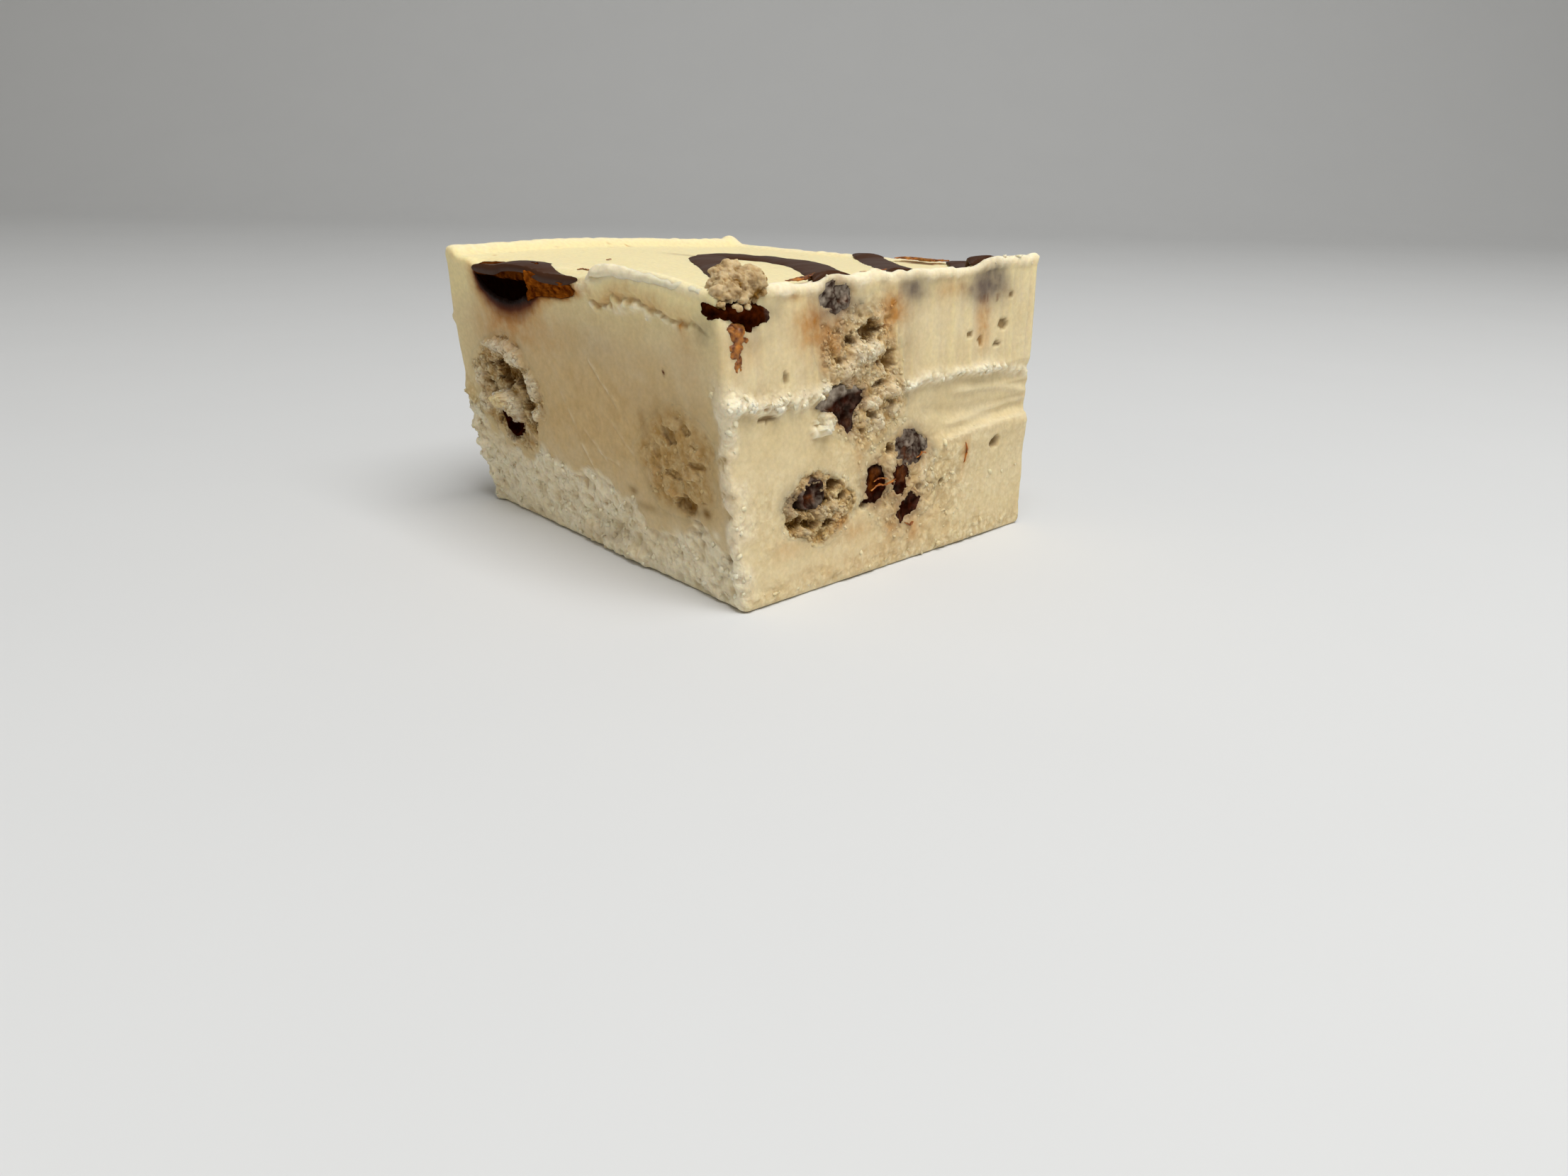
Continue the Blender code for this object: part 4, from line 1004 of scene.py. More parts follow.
def endTree(tree, given, shape, noise, amount):
    # pushes the shape's points about with a noise, smooths it, makes it real and paints it
    place = addNode(tree, "GeometryNodeInputPosition")
    uneven = addNode(tree, "ShaderNodeTexNoise", dict(noise, Vector=place.outputs["Position"]))
    centred = addNode(tree, "ShaderNodeVectorMath", {0: uneven.outputs["Color"], 1: (0.5,) * 3},
                      operation="SUBTRACT")
    push = addNode(tree, "ShaderNodeVectorMath", {0: centred.outputs["Vector"], "Scale": amount},
                   operation="SCALE")
    moved = addNode(tree, "GeometryNodeSetPosition", {"Geometry": shape,
                                                      "Offset": push.outputs["Vector"]})
    soft = addNode(tree, "GeometryNodeSetShadeSmooth", {"Geometry": moved.outputs["Geometry"]})
    real = addNode(tree, "GeometryNodeRealizeInstances", {"Geometry": soft.outputs["Geometry"]})
    painted = addNode(tree, "GeometryNodeSetMaterial", {"Geometry": real.outputs["Geometry"],
                                                        "Material": given.outputs["Material"]})
    addNode(tree, "NodeGroupOutput", {"Geometry": painted.outputs["Geometry"]})
    return tree


def growPiece(name, source, tree, values):
    # a new piece: what the tree makes of the source
    modifier = source.modifiers.new(tree.name, "NODES")
    modifier.node_group = tree
    for item in tree.interface.items_tree:
        if item.in_out == "INPUT" and item.name in values:
            modifier[item.identifier] = values[item.name]
    mesh = settledMesh(source)
    mesh.name = name
    return addObject(name, mesh)


def crumbTree():
    # crumbs scattered over a surface where its "crumbs" attribute says, flat on it, each of its
    # own shape
    tree, given = startTree("scatterCrumbs", {"Density": 1.0e6, "Smallest": 0.2 * mm,
                                              "Largest": 0.7 * mm, "Seed": 1, "Material": None})
    amount = addNode(tree, "GeometryNodeInputNamedAttribute", {"Name": "crumbs"}, data_type="FLOAT")
    often = addNode(tree, "ShaderNodeMath", {0: amount.outputs["Attribute"], 1: 2.0},
                    operation="POWER")
    density = addNode(tree, "ShaderNodeMath", {0: often.outputs[0], 1: given.outputs["Density"]},
                      operation="MULTIPLY")
    points = addNode(tree, "GeometryNodeDistributePointsOnFaces",
                     {"Mesh": given.outputs["Geometry"], "Density": density.outputs[0],
                      "Seed": given.outputs["Seed"]})
    chance = addNode(tree, "FunctionNodeRandomValue", {"Seed": given.outputs["Seed"]},
                     data_type="FLOAT")
    curved = addNode(tree, "ShaderNodeMath", {0: chance.outputs[1], 1: 3.2}, operation="POWER")
    size = addNode(tree, "ShaderNodeMapRange", {"Value": curved.outputs[0],
                                                "To Min": given.outputs["Smallest"],
                                                "To Max": given.outputs["Largest"]})
    sized = addNode(tree, "GeometryNodeStoreNamedAttribute",
                    {"Geometry": points.outputs["Points"], "Name": "crumbSize",
                     "Value": size.outputs["Result"]}, data_type="FLOAT", domain="POINT")
    turn = addNode(tree, "FunctionNodeRandomValue",
                   {"Min": (-0.5, -0.5, 0), "Max": (0.5, 0.5, 6.28), "Seed": 7},
                   data_type="FLOAT_VECTOR")
    spin = addNode(tree, "FunctionNodeEulerToRotation", {"Euler": turn.outputs[0]})
    laid = addNode(tree, "FunctionNodeRotateRotation",
                   {"Rotation": points.outputs["Rotation"], "Rotate By": spin.outputs["Rotation"]},
                   rotation_space="LOCAL")
    form = addNode(tree, "FunctionNodeRandomValue",
                   {"Min": (0.8, 0.6, 0.4), "Max": (1.5, 1.0, 0.8), "Seed": 8},
                   data_type="FLOAT_VECTOR")
    scale = addNode(tree, "ShaderNodeVectorMath", {0: form.outputs[0],
                                                   "Scale": size.outputs["Result"]},
                    operation="SCALE")
    ball = addNode(tree, "GeometryNodeMeshUVSphere", {"Segments": 6, "Rings": 4, "Radius": 0.5})
    crumbs = addNode(tree, "GeometryNodeInstanceOnPoints",
                     {"Points": sized.outputs["Geometry"], "Instance": ball.outputs["Mesh"],
                      "Rotation": laid.outputs["Rotation"], "Scale": scale.outputs["Vector"]})
    real = addNode(tree, "GeometryNodeRealizeInstances", {"Geometry": crumbs.outputs["Instances"]})
    kept = addNode(tree, "GeometryNodeInputNamedAttribute", {"Name": "crumbSize"},
                   data_type="FLOAT")
    return endTree(tree, given, real.outputs["Geometry"],
                   {"Scale": 1700.0, "Detail": 3.0, "Roughness": 0.7}, kept.outputs["Attribute"])


def lineTree():
    # a strip with a low rounded section that follows curves, with slightly wandering edges
    tree, given = startTree("followLine", {"Width": 4.2 * mm, "Height": 0.4 * mm,
                                           "Waver": 0.1 * mm, "Waver Size": 2.0 * mm,
                                           "Across": 16, "Material": None})
    upright = addNode(tree, "GeometryNodeSetCurveNormal", {"Curve": given.outputs["Geometry"]},
                      mode="Z_UP")
    ring = addNode(tree, "GeometryNodeCurvePrimitiveCircle", {"Resolution": given.outputs["Across"],
                                                              "Radius": 0.5})
    stretch = addNode(tree, "ShaderNodeCombineXYZ", {"X": given.outputs["Width"],
                                                     "Y": given.outputs["Height"], "Z": 1.0})
    section = addNode(tree, "GeometryNodeTransform", {"Geometry": ring.outputs["Curve"],
                                                      "Scale": stretch.outputs["Vector"]})
    radius = addNode(tree, "GeometryNodeInputRadius")
    strip = addNode(tree, "GeometryNodeCurveToMesh",
                    {"Curve": upright.outputs["Curve"], "Scale": radius.outputs["Radius"],
                     "Profile Curve": section.outputs["Geometry"], "Fill Caps": True})
    often = addNode(tree, "ShaderNodeMath", {0: 1.0, 1: given.outputs["Waver Size"]},
                    operation="DIVIDE")
    return endTree(tree, given, strip.outputs["Mesh"],
                   {"Scale": often.outputs[0], "Detail": 2.0}, given.outputs["Waver"])


def linesPiece(name, lines, radii, tree, sizes, material):
    # strips along lines of points that are already in the part's own space, in metres
    curve = bpy.data.curves.new(name, "CURVE")
    curve.dimensions = "3D"
    for line, widths in zip(lines, radii):
        spline = curve.splines.new("POLY")
        spline.points.add(len(line) - 1)
        for point, place, width in zip(spline.points, line, widths):
            point.co, point.radius = (*place, 1.0), width
    source = addObject(name + "Line", curve)
    piece = growPiece(name, source, tree,
                      {"Width": sizes["width"] * mm, "Height": sizes["height"] * mm,
                       "Waver": sizes["waver"] * mm, "Waver Size": sizes["waverSize"] * mm,
                       "Across": sizes["across"], "Material": material})
    bpy.data.objects.remove(source)
    return piece


def startMaterial(name, shader):
    material = bpy.data.materials.new(name)
    material.use_nodes = True
    tree = material.node_tree
    surface = tree.nodes["Principled BSDF"]
    for key, value in shader.items():
        surface.inputs[key].default_value = value
    place = addNode(tree, "ShaderNodeTexCoord").outputs["Object"]
    return material, tree, surface, place


def confection(name, finish, shader):
    # fudge or dough: its colours lie over each other where the piece's marks say
    material, tree, surface, place = startMaterial(name, shader)
    mark = {label: addNode(tree, "ShaderNodeAttribute", attribute_name=label).outputs["Fac"]
            for label in lookNames}
    noise = {}
    for label, size in (("cloud", 6.0), ("mottle", 1.3), ("grain", finish["grainSize"])):
        made = addNode(tree, "ShaderNodeTexNoise", {"Vector": place, "Scale": 1 / (size * mm),
                                                    "Detail": 4.0})
        noise[label] = made.outputs["Fac"]
        if label == "mottle":  # crumbs of two sizes, with torn outlines
            torn = addNode(tree, "ShaderNodeVectorMath", {0: made.outputs["Color"],
                                                          1: (1.1 * mm,) * 3, 2: place},
                           operation="MULTIPLY_ADD").outputs["Vector"]
    clods = [addNode(tree, "ShaderNodeTexVoronoi", {"Vector": torn, "Scale": 1 / (size * mm),
                                                    "Smoothness": 0.25},
                     feature="SMOOTH_F1").outputs["Distance"] for size in finish["clods"]]
    low = addNode(tree, "ShaderNodeMix", {0: 0.42, 2: clods[0], 3: clods[1]},
                  data_type="FLOAT").outputs[0]
    pattern = {}
    for label, source, start, end, least, most in (
            ("cloudy", noise["cloud"], 0.30, 0.70, 0.0, 1.0),
            ("pale", noise["mottle"], 0.38, 0.64, 0.0, 1.0),
            ("uneven", noise["mottle"], 0.30, 0.62, 0.45, 1.0),
            ("even", noise["mottle"], 0.30, 0.62, 0.80, 1.0),
            ("litTops", low, 0.36, 0.14, 0.0, 0.5), ("shadedClefts", low, 0.38, 0.62, 0.0, 0.75),
            ("glow", mark["seep"], 0.0, 0.70, 0.0, 1.0),
            ("core", mark["seep"], 0.60, 0.92, 0.0, 1.0),
            ("shade", noise["grain"], 0.30, 0.75, 0.92, 1.05)):
        pattern[label] = addNode(tree, "ShaderNodeMapRange",
                                 {"Value": source, "From Min": start, "From Max": end,
                                  "To Min": least, "To Max": most}).outputs["Result"]
    # each colour lies over the ones before it, as much as a mark and a pattern say
    colour = hexColour(finish["body"])
    # crumb tops take the near white as painted highlight, the clefts between crumbs a brown as
    # painted shade, and hollows a dark brown as painted shade over the dough's own ochre
    for label, where, over in ((None, "cloudy", "bodyPale"), ("skin", None, "skin"),
                               ("dough", None, "dough"), ("dough", "pale", "doughPale"),
                               ("crumbs", "litTops", "paleAndHighlight"), ("crumbs", "shadedClefts", "cleftShade"),
                               ("paleAndHighlight", None, "paleAndHighlight"), ("hollowShadeAndDark", None, "hollowShadeAndDark"),
                               ("stain", "uneven", "stain"), ("film", "even", "film"),
                               (None, "glow", "seepThin"), (None, "core", "seep")):
        amounts = [kind[key] for kind, key in ((mark, label), (pattern, where)) if key]
        amount = amounts[0]
        if len(amounts) > 1:
            amount = addNode(tree, "ShaderNodeMath", dict(enumerate(amounts)),
                             operation="MULTIPLY").outputs[0]
        colour = addNode(tree, "ShaderNodeMix", {0: amount, 6: colour, 7: hexColour(finish[over])},
                         data_type="RGBA").outputs[2]
    colour = addNode(tree, "ShaderNodeVectorMath", {0: colour, "Scale": pattern["shade"]},
                     operation="SCALE").outputs["Vector"]
    tree.links.new(colour, surface.inputs["Base Color"])
    matt = mark["dough"]
    for label in ("paleAndHighlight", "crumbs"):
        matt = addNode(tree, "ShaderNodeMath", {0: matt, 1: mark[label]},
                       operation="MAXIMUM").outputs[0]
    rough = addNode(tree, "ShaderNodeMapRange",
                    {"Value": matt, "To Min": finish["waxy"], "To Max": finish["dry"]})
    tree.links.new(rough.outputs["Result"], surface.inputs["Roughness"])
    height = addNode(tree, "ShaderNodeMath", {0: noise["grain"], 1: finish["grainHeight"]},
                     operation="MULTIPLY").outputs[0]
    for source, label, high in ((noise["mottle"], "dough", 0.12), (low, "crumbs", -0.32)):
        part = addNode(tree, "ShaderNodeMath", {0: source, 1: mark[label]}, operation="MULTIPLY")
        height = addNode(tree, "ShaderNodeMath", {0: part.outputs[0], 1: high, 2: height},
                         operation="MULTIPLY_ADD").outputs[0]
    bump = addNode(tree, "ShaderNodeBump", {"Height": height, "Strength": 1.0, "Distance": mm})
    tree.links.new(bump.outputs["Normal"], surface.inputs["Normal"])
    return material


# Of these colours the cleft brown is painted shade between crumbs, the darkest brown painted shade
# in hollows over the dough's own ochre, and the near white both pale crumbs and painted highlight.
confectionFinish = {
    "body": "DAC599", "bodyPale": "E2D1AB", "skin": "F3E2AC", "paleAndHighlight": "F8EDCF",
    "dough": "C09B60", "doughPale": "DFC592", "cleftShade": "AD8850", "hollowShadeAndDark": "76531F",
    "stain": "B9761F", "film": "6B5E55", "seepThin": "622C09", "seep": "140500",
    "waxy": 0.42, "dry": 0.80,  # roughness where the knife left it waxy, and where it crumbled
    "clods": (1.1, 0.5), "grainSize": 0.55, "grainHeight": 0.05,  # millimetres
}
seeThrough = {  # light passes through about a millimetre of it and comes out warmer
    "IOR": 1.45, "Specular IOR Level": 0.06, "Subsurface Weight": 0.45,
    "Subsurface Scale": 1.1 * mm, "Subsurface Radius": (1.0, 0.72, 0.42),
}


def makeFudge():
    # Fudge of cooked milk, sugar and white chocolate, poured, set and cut with a knife: waxy and
    # a little see-through, so that edges glow and what lies under the surface blurs. Its sugar
    # grains are under 0.1 mm, drawn at 0.55 mm, so that they show.
    return confection("whiteChocolateFudge", confectionFinish, seeThrough)


def makeDough():
    # Uncooked cookie dough of butter, flour and brown sugar, pressed in and cut through: matt and
    # crumbly, ochre brown in its hollows and darkened there further by painted shade, pale where
    # flour shows and, on its raised lumps and grain tops, by painted highlight. Its sugar grains of
    # about
    # 0.3 mm are drawn at 0.5 mm, so that they show.
    return confection("uncookedCookieDough",
                      dict(confectionFinish, grainSize=0.5, grainHeight=0.07), seeThrough)


def makeCrumbs():
    # Crumbs that the knife tore off the fudge and dough, drier and paler than the cut itself.
    # their hollow brown is painted shade in their clefts, lighter than on the cut
    dry = dict(confectionFinish, body="E6D4A8", bodyPale="EEE0BC", dough="CDAC72",
               doughPale="E4CC98", hollowShadeAndDark="A07C40", waxy=0.7, grainSize=0.5)
    return confection("dryFudgeCrumbs", dry, {
        "IOR": 1.45, "Subsurface Weight": 0.35, "Subsurface Scale": 0.9 * mm,
        "Subsurface Radius": (1.0, 0.72, 0.42)})


# mottle: size in millimetres and detail of the noise that the colours follow, and ripple of the
# relief's own; contrast: the part of that noise's range that they cross; colours: the mark that
# each layer follows over the last, and its two tones; bump: strength, and depth in millimetres
def layered(name, finish, shader):
    material, tree, surface, place = startMaterial(name, shader)
    noise = {label: addNode(tree, "ShaderNodeTexNoise",
                            {"Vector": place, "Scale": 1 / (finish[label][0] * mm),
                             "Detail": finish[label][1]}).outputs["Fac"]
             for label in ("mottle", "ripple") if label in finish}
    low, high = finish.get("contrast", (0.0, 1.0))
    crisp = addNode(tree, "ShaderNodeMapRange", {"Value": noise["mottle"], "From Min": low,
                                                 "From Max": high}).outputs["Result"]
    mark = {label: addNode(tree, "ShaderNodeAttribute", attribute_name=label).outputs["Fac"]
            for label, *_ in finish["colours"] if label}
    colour = None
    for label, dark, pale in finish["colours"]:
        layer = addNode(tree, "ShaderNodeMix", {0: crisp, 6: hexColour(dark), 7: hexColour(pale)},
                        data_type="RGBA").outputs[2]
        if label:
            layer = addNode(tree, "ShaderNodeMix", {0: mark[label], 6: colour, 7: layer},
                            data_type="RGBA").outputs[2]
        colour = layer
    tree.links.new(colour, surface.inputs["Base Color"])
    if "roughness" in finish:
        matt = noise["mottle"]
        if mark:
            matt = addNode(tree, "ShaderNodeMath", {0: mark["stain"], 1: mark["film"]},
                           operation="MAXIMUM").outputs[0]
        least, most = finish["roughness"]
        rough = addNode(tree, "ShaderNodeMapRange", {"Value": matt, "To Min": least,
                                                     "To Max": most})
        tree.links.new(rough.outputs["Result"], surface.inputs["Roughness"])
    if "bump" in finish:
        strength, depth = finish["bump"]
        bump = addNode(tree, "ShaderNodeBump", {"Height": noise.get("ripple", noise["mottle"]),
                                                "Strength": strength, "Distance": depth * mm})
        tree.links.new(bump.outputs["Normal"], surface.inputs["Normal"])
    return material


def makeDrizzleChocolate():
    # Dark chocolate, melted, drizzled and set in the air: smooth, with a soft satin gloss.
    return layered("setDarkChocolate", {
        "mottle": (5.0, 3.0), "ripple": (1.6, 2.0),
        "colours": ((None, "3A2010", "4A2C17"),),
        "roughness": (0.40, 0.56), "bump": (0.25, 0.1)}, {"IOR": 1.46, "Specular IOR Level": 0.16})


def makeCutChocolate():
    # The same chocolate broken or cut through: near black and without gloss where it is whole,
    # red brown and granular where it was shaved, and wiped over in places with a grey film of
    # fudge. Its crystals are finer than the 0.9 mm that they are drawn at, so that they show.
    return layered("cutDarkChocolate", {
        "mottle": (0.9, 4.0), "contrast": (0.34, 0.68),
        # the near black layer is the whole chocolate's own colour, and also painted shade in the
        # creases of the chips and between their grains
        "colours": ((None, "1E0500", "3C1203"), ("hollowShadeAndDark", "060100", "100300"),
                    ("stain", "562205", "AA5E18"), ("film", "6A5C4E", "B8AC9A")),
        "roughness": (0.40, 0.72), "bump": (0.5, 0.12)}, {"IOR": 1.30, "Specular IOR Level": 0.0})


def makeShavedChocolate():
    # Thin shavings that the knife dragged along, and a smear of them: red to orange brown, and
    # thin enough for light to come through. Their grain, too, is drawn coarser, at 0.7 mm.
    return layered("shavedChocolate", {
        "mottle": (0.7, 4.0), "contrast": (0.36, 0.66),
        "colours": ((None, "5E2C06", "BC782A"),), "bump": (0.5, 0.1)},
        {"IOR": 1.46, "Roughness": 0.5, "Subsurface Weight": 0.5, "Subsurface Scale": 0.7 * mm,
         "Subsurface Radius": (1.0, 0.45, 0.2)})


def makePaper():
    # Matt studio paper, rolled: even, with hardly any mottling.
    return layered("studioPaper", {"mottle": (40.0, 3.0), "colours": ((None, "D6D7D7", "D9DADA"),)},
                   {"Roughness": 0.85})


drizzle = {
    "width": 4.2, "height": 0.9, "waver": 0.35, "waverSize": 3.5, "across": 28,
    "sunk": 0.12, "inset": 0.35, "frontInset": 0.0,  # below the top, and inside its edges
    "swell": (1.40, 1.30, 1.32, 1.15, 1.10),  # how much wider each line is than the width
    "points": {1: (1.0, 0.88), 2: (0.0, 0.10)},  # two runs meet thinner where the line turned
    "lines": (
        ((8.5, -4.0), (10.0, 0.0), (13.8, 2.2), (21.0, 1.8), (29.5, -2.6)),
        ((58.0, 1.0), (47.5, 8.9), (38.0, 15.4), (29.5, 20.9), (21.4, 26.4)),
        ((20.6, 25.8), (27.4, 30.2), (36.0, 28.8), (44.5, 23.8), (52.0, 18.6), (58.0, 14.2)),
        ((58.0, 24.4), (48.7, 32.6), (39.7, 40.6), (29.2, 50.2), (25.0, 54.0)),
        ((58.0, 39.0), (52.0, 44.2), (46.0, 49.4), (41.0, 54.0)),
    ),
}


def onTop(x, y, rise):
    # a place on the top, by box space from above and its height over the surface there
    return placeInPart(np.column_stack([x, y, np.zeros(len(x)) + block["height"] + rise]))


def trimToSides(mesh):
    # cuts off what sticks out over the four sides, and closes the cut ends
    shape = bmesh.new()
    shape.from_mesh(mesh)
    x0, y0 = drizzle["inset"], drizzle["frontInset"]
    x1, y1, z = block["length"] - x0, block["depth"] - x0, block["height"]
    ring = placeInPart(np.array([(x0, y0, z), (x1, y0, z), (x1, y1, z), (x0, y1, z)]))
    for k in range(4):
        a, b = Vector(ring[k]), Vector(ring[(k + 1) % 4])
        away = (b - a).cross(Vector((0, 0, 1)))
        away.z = 0
        bmesh.ops.bisect_plane(shape, geom=[*shape.verts, *shape.edges, *shape.faces],
                               plane_co=a, plane_no=away, clear_outer=True)
        gap = [edge for edge in shape.edges if edge.is_boundary]
        if gap:
            bmesh.ops.holes_fill(shape, edges=gap)
    bmesh.ops.triangulate(shape, faces=shape.faces)
    bmesh.ops.recalc_face_normals(shape, faces=shape.faces)
    shape.to_mesh(mesh)
    shape.free()


def makeDrizzle(tree, material):
    lines, radii = [], []
    for number, controls in enumerate(drizzle["lines"]):
        line = smoothLine(controls, 26)
        lines.append(onTop(line[:, 0], line[:, 1], -drizzle["sunk"]))
        run = np.linspace(0, 1, len(line))
        radius = 1 + 0.07 * latticeNoise(np.column_stack([line / 5.0, 0 * run + number]), 1.0, 81)
        radius *= drizzle["swell"][number]
        if number in drizzle["points"]:
            radius *= 0.60 + 0.40 * ramp(run, *drizzle["points"][number])
        radii.append(radius)
    piece = linesPiece("chocolateDrizzle", lines, radii, tree, drizzle, material)
    trimToSides(piece.data)
    return piece


skinCurl = {
    "width": 1.7, "height": 1.5, "waver": 0.7, "waverSize": 1.5, "across": 24,
    "setBack": 0.55,  # from the front edge
    # along the front, and the height of the crest there
    "crest": ((32.2, 33.6), (32.8, 34.5), (34.2, 35.1), (36.5, 35.3), (39.5, 35.2), (43.0, 34.95),
              (47.0, 34.65), (50.5, 34.4), (52.6, 34.2)),
    # the roll is mostly near white, partly its whitish skin and partly painted highlight along its
    # crest
    "look": {"paleAndHighlight": 0.75, "skin": 0.35, "film": 0.06},
}


def makeSkinCurl(tree, material):
    line = smoothLine(skinCurl["crest"], 9)
    x, high = line[:, 0], line[:, 1]
    size = 0.55 + 0.45 * ramp(x, 52.0, 36.0) - 0.45 * ramp(x, 34.0, 32.4)
    at = onTop(x, skinCurl["setBack"] + 0 * x, 0.0)
    at[:, 2] = (high - 0.62 * size) * mm
    piece = linesPiece("skinCurl", [at], [size], tree, skinCurl, material)
    setLook(piece.data, skinCurl["look"])
    return piece


cornerPieces = {  # sizes in millimetres; centre in box space, half sizes and seed of each ball
    "cornerDough": {"voxel": 0.10, "grainSize": 1.35, "standOut": 0.60, "balls": (
        ((53.6, 4.9, 35.2), (2.1, 2.3, 1.9), 19), ((53.8, 2.6, 34.8), (1.8, 1.9, 1.7), 20),
        ((52.9, 3.6, 36.0), (1.6, 1.7, 1.4), 21), ((54.6, 1.3, 34.4), (0.9, 1.0, 0.9), 24),
        ((54.7, 5.9, 34.7), (0.9, 1.0, 0.8), 25), ((54.9, 3.7, 34.0), (0.8, 0.9, 0.8), 26),
        ((53.4, 2.2, 36.2), (0.8, 0.8, 0.7), 27), ((52.0, 5.4, 35.6), (1.0, 1.0, 0.8), 28),
        ((55.1, 2.4, 32.7), (0.5, 0.7, 0.5), 29), ((55.2, 3.9, 33.0), (0.4, 0.4, 0.45), 30),
        ((55.1, 0.6, 33.2), (0.5, 0.5, 0.5), 31))},
    "cornerChip": {"voxel": 0.10, "grainSize": 1.5, "standOut": 0.3, "balls": (
        ((53.9, 4.4, 32.0), (1.9, 2.8, 2.1), 22), ((53.8, 1.7, 32.6), (1.7, 1.9, 1.6), 32),
        ((54.0, 3.6, 30.9), (1.3, 2.0, 1.2), 35))},
    "cornerDrip": {"voxel": 0.09, "grainSize": 0.8, "standOut": 0.25, "balls": (
        ((54.8, 2.2, 30.1), (0.8, 1.8, 1.1), 33), ((54.9, 1.8, 28.9), (0.65, 1.2, 1.3), 23),
        ((54.95, 2.0, 27.5), (0.45, 0.7, 1.3), 34))},
}


def fusedBalls(name, material, marks):
    # uneven balls fused into one closed shape, with grains of two sizes standing out on it
    sizes = cornerPieces[name]
    shape = bmesh.new()
    for centre, half, seed in sizes["balls"]:
        made = bmesh.ops.create_icosphere(shape, subdivisions=4, radius=1.0)["verts"]
        unit = np.array([v.co for v in made])
        uneven = 1 + 0.22 * latticeNoise(unit * 1.8, 1.0, seed)
        places = placeInPart(np.array(centre) + unit * (np.array(half) * uneven[:, None]))
        for vert, place in zip(made, places):
            vert.co = place
    mesh = bpy.data.meshes.new(name)
    shape.to_mesh(mesh)
    shape.free()
    piece = addObject(name, mesh)
    modifier = piece.modifiers.new("fuse", "REMESH")
    modifier.mode, modifier.voxel_size = "VOXEL", sizes["voxel"] * mm
    piece.data = mesh = settledMesh(piece)
    count = len(mesh.vertices)
    co, normals = np.zeros(count * 3), np.zeros(count * 3)
    mesh.vertices.foreach_get("co", co)
    mesh.vertices.foreach_get("normal", normals)
    co, normals = co.reshape(-1, 3) / mm, normals.reshape(-1, 3)
    big, small = grains(co, sizes["grainSize"], 111), grains(co, sizes["grainSize"] * 0.45, 112)
    out = sizes["standOut"] * (0.65 * (big - 0.6) + 0.35 * (small - 0.6)
                               + 0.4 * unevenness(co, 0.6, 113))
    mesh.vertices.foreach_set("co", ((co + normals * out[:, None]) * mm).ravel())
    setLook(mesh, marks(co, big, small))
    mesh.materials.clear()
    mesh.materials.append(material)
    mesh.shade_smooth()
    mesh.update()
    return piece


shavings = {
    "width": 1.0, "height": 0.45, "waver": 0.35, "waverSize": 0.5, "across": 10,
    "lines": (  # side or top, points along each, its width and how far it stands up
        ("right", ((20.6, 10.8), (21.6, 11.4), (22.8, 11.2), (24.6, 11.6)), 0.45, 0.5),
        ("right", ((21.0, 11.9), (22.2, 12.1), (23.6, 11.7)), 0.3, 0.4),
        ("right", ((38.0, 14.0), (38.3, 12.8), (38.0, 11.2)), 0.35, 0.1),
        ("right", ((28.9, 13.4), (30.1, 13.9), (30.8, 13.7)), 0.35, 0.3),
        ("right", ((26.8, 5.4), (27.6, 4.9), (28.4, 5.2)), 0.4, 0.15),
        ("top", ((53.1, 11.0), (53.4, 13.2), (53.0, 15.2)), 0.7, 0.45),
        ("top", ((52.5, 22.4), (53.0, 25.0), (52.8, 28.4)), 0.6, 0.5),
        ("top", ((53.0, 12.6), (53.6, 14.6), (53.3, 16.4)), 0.5, 0.6),
        ("top", ((33.6, 49.7), (36.4, 50.1), (39.2, 49.8), (42.4, 50.2)), 0.9, 0.5),
        ("top", ((36.0, 49.2), (38.4, 49.6), (40.8, 49.3)), 0.6, 0.6),
        ("top", ((26.2, 2.9), (27.2, 3.2), (28.4, 3.0)), 0.3, 0.1),
        ("top", ((18.6, 12.4), (19.3, 12.7)), 0.3, 0.08),
    ),
}


def makeShavings(tree, material):
    lines, radii = [], []
    for where, points, width, rise in shavings["lines"]:
        line = smoothLine(points, 8)
        if where == "top":
            lines.append(onTop(*line.T, rise))
        else:
            out, _ = sideLooks[where](*line.T, onSide(where, *line.T))
            lines.append(placeInPart(onSide(where, *line.T, out + rise)))
        run = np.linspace(0, 1, len(line))
        radii.append(width * (0.35 + 0.65 * np.sin(math.pi * run)
                              + 0.25 * latticeNoise(np.column_stack([line, run]), 0.5, 121)))
    return linesPiece("chocolateShavings", lines, radii, tree, shavings, material)


def finishPiece(piece, slot, *nodes):
    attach(piece, "root")
    if nodes:
        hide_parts(*nodes)
    print("made", piece.name, sum(len(face.vertices) - 2 for face in piece.data.polygons),
          "triangles")


def joinPieces(name, pieces):
    if len(pieces) > 1:
        with bpy.context.temp_override(active_object=pieces[0], object=pieces[0],
                                       selected_objects=pieces, selected_editable_objects=pieces):
            bpy.ops.object.join()
    pieces[0].name = pieces[0].data.name = name
    return pieces[0]


crumbling = {  # how many crumbs to a square metre where they are thickest, and their sizes
    "fudge": {"Density": 1.5e6, "Smallest": 0.16 * mm, "Largest": 0.95 * mm},
    "dough": {"Density": 5.0e6, "Smallest": 0.16 * mm, "Largest": 0.65 * mm},
}


def makeFudgeBlock(scattered, fudge, crumbs):
    piece = makeBlock(fudge)
    loose = growPiece("fudgeCrumbs", piece, scattered,
                      dict(crumbling["fudge"], Seed=3, Material=crumbs))
    finishPiece(piece, "fudge", "fudge")
    finishPiece(loose, "fudge")


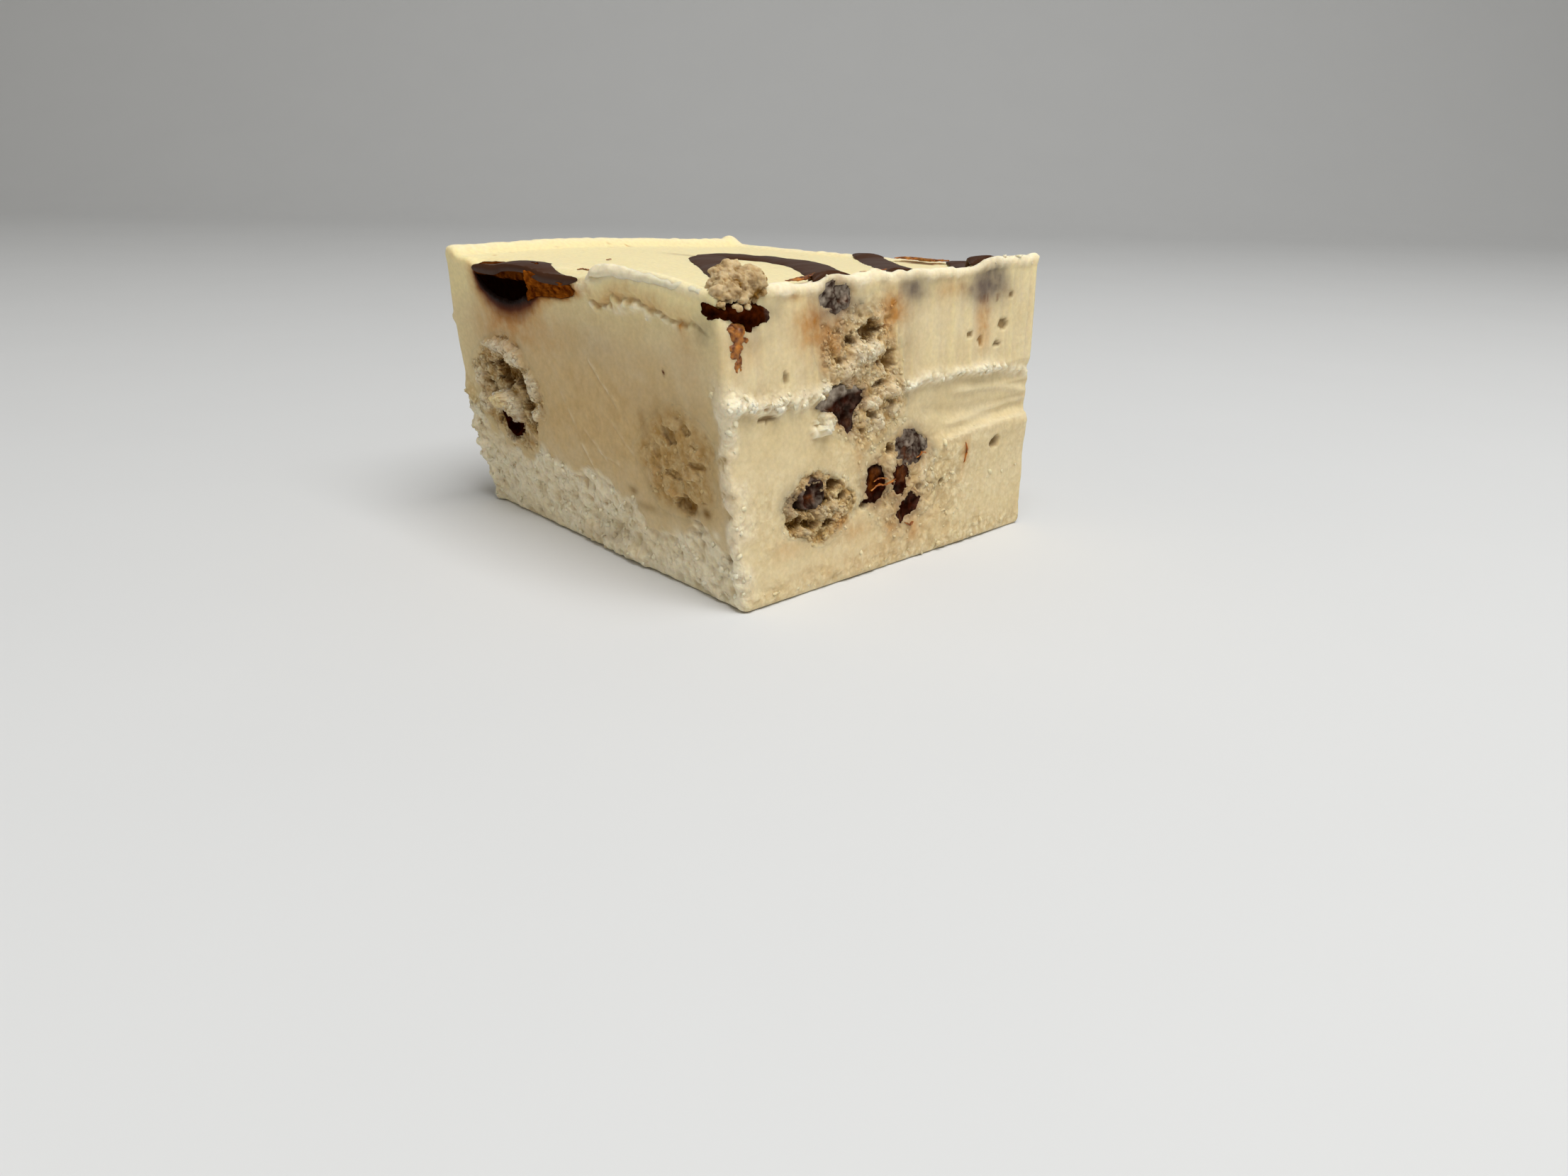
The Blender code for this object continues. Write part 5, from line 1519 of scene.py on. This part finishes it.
def makeLumps(scattered, dough, crumbs):
    loose = {}
    for number, (name, inset) in enumerate(lumpInsets.items()):
        patch = makePatch(name + "_cut", inset, doughSurface(name), dough, spacing=0.13,
                          overlap=1.7)
        bits = growPiece(name + "_crumbs", patch, scattered,
                         dict(crumbling["dough"], Seed=20 + number, Material=crumbs))
        loose.setdefault(inset["side"], []).append(bits)
        finishPiece(patch, "dough", name)
    for side, pieces in loose.items():
        finishPiece(joinPieces(side + "DoughCrumbs", pieces), "dough")


def makeChips(material):
    for number, (name, inset) in enumerate(chipInsets.items()):
        chip = makePatch(name, inset, chipSurface(name, 200 + 10 * number), material,
                         spacing=0.10, overlap=0.6)
        finishPiece(chip, "chocolate")
    slab = makePatch("cutDrizzleSlab", slabInset, slabSurface, material, spacing=0.14, overlap=0.5)
    finishPiece(slab, "chocolate")


def makeCorner(dough, cutChocolate, shaved):
    # the loose crumb on the near corner, the chip that it holds and the drip below
    # the loose crumb: paler grain tops as painted highlight, and a darker base and clefts as
    # painted shade
    crumb = fusedBalls("cornerDough", dough, lambda p, big, small: {
        "dough": 0.75, "crumbs": 0.6, "paleAndHighlight": 0.30 * small,
        "hollowShadeAndDark": 0.16 + 1.1 * limited(0.95 - big)})
    finishPiece(crumb, "dough", "dough_corner")
    # the chip: darker between its grains as painted shade, and a real grey film on one side
    chip = fusedBalls("cornerChip", cutChocolate, lambda p, big, small: {
        "film": 0.28 * ramp(p[:, 1], -20.2, -18.6) * (0.3 + 0.7 * small),
        "stain": 0.04 * small, "hollowShadeAndDark": 1.1 - big})
    finishPiece(chip, "chocolate")
    finishPiece(fusedBalls("cornerDrip", shaved, lambda p, big, small: {}), "chocolate")


def main():
    fudge, dough, crumbs = makeFudge(), makeDough(), makeCrumbs()
    cutChocolate, shaved = makeCutChocolate(), makeShavedChocolate()
    lines, scattered = lineTree(), crumbTree()
    print("materials and node trees are ready")
    makeFudgeBlock(scattered, fudge, crumbs)
    makeLumps(scattered, dough, crumbs)
    makeChips(cutChocolate)
    finishPiece(makeDrizzle(lines, makeDrizzleChocolate()), "chocolate")
    finishPiece(makeSkinCurl(lines, fudge), "fudge")
    finishPiece(makeShavings(lines, shaved), "chocolate")
    makeCorner(dough, cutChocolate, shaved)


studio = {
    "camera": (118.498, -100.99, 48.35), "heading": 47.2, "down": 21.0, "roll": 1.2,
    "lens": 26.74, "sensor": 36.0,
    "key": ((0.40, -0.03, 0.90), 0.70, 0.50, 4.7),  # direction, distance and size in m, watts
    "fill": ((0.90, 0.20, 0.45), 0.90, 0.60, 0.32),
    "bounce": ((-0.35, -0.90, 0.16), 0.90, 0.60, 0.42),
    "warm": (1.0, 0.90, 0.74),  # colour of the bounced light
    "sky": (1.0, 0.97, 0.91, 1.0), "skyStrength": 0.26,
    # the paper sweep in metres: half its width, how far it lies in front of and behind the
    # square, the radius of its bend and its height
    "wide": 3.0, "front": 3.0, "behind": 0.9, "bend": 0.35, "high": 2.5,
}


def makeStudio():
    scene = bpy.context.scene
    scene.view_settings.view_transform = "Standard"
    data = bpy.data.cameras.new("camera")
    data.lens, data.sensor_width, data.clip_start = studio["lens"], studio["sensor"], 0.005
    camera = addObject("camera", data)
    camera.location = Vector(studio["camera"]) * mm
    turned = (Euler((0, 0, math.radians(studio["heading"]))).to_matrix()
              @ Euler((math.radians(90 - studio["down"]), 0, 0)).to_matrix()
              @ Euler((0, 0, math.radians(studio["roll"]))).to_matrix())
    camera.rotation_euler = turned.to_euler()
    scene.camera = camera
    for name in ("key", "fill", "bounce"):
        direction, far, size, watts = studio[name]
        light = bpy.data.lights.new(name, "AREA")
        light.energy, light.size = watts, size
        if name == "bounce":
            light.color = studio["warm"]
        lamp = addObject(name, light)
        lamp.location = Vector(direction).normalized() * far
        lamp.rotation_euler = (-Vector(direction)).to_track_quat("-Z", "Y").to_euler()
    world = bpy.data.worlds.new("studio")
    world.use_nodes = True
    sky = world.node_tree.nodes["Background"].inputs
    sky["Color"].default_value, sky["Strength"].default_value = studio["sky"], studio["skyStrength"]
    scene.world = world
    bend, foot = studio["bend"], studio["behind"] - studio["bend"]
    profile = [(-studio["front"], 0.0), (foot, 0.0)]
    profile += [(foot + bend * math.sin(a), bend - bend * math.cos(a))
                for a in np.linspace(0, math.pi / 2, 16)[1:]] + [(studio["behind"], studio["high"])]
    turn, wide = math.radians(studio["heading"]), studio["wide"]
    ahead = np.array([-math.sin(turn), math.cos(turn)])
    aside = np.array([math.cos(turn), math.sin(turn)])
    points = np.array([[*(ahead * a + aside * b), h] for a, h in profile for b in (-wide, wide)])
    faces = [(2 * k, 2 * k + 1, 2 * k + 3, 2 * k + 2) for k in range(len(profile) - 1)]
    sweep = makeMesh("studioSweep", points, faces, {}, makePaper())
    print("studio is ready")


main()
makeStudio()
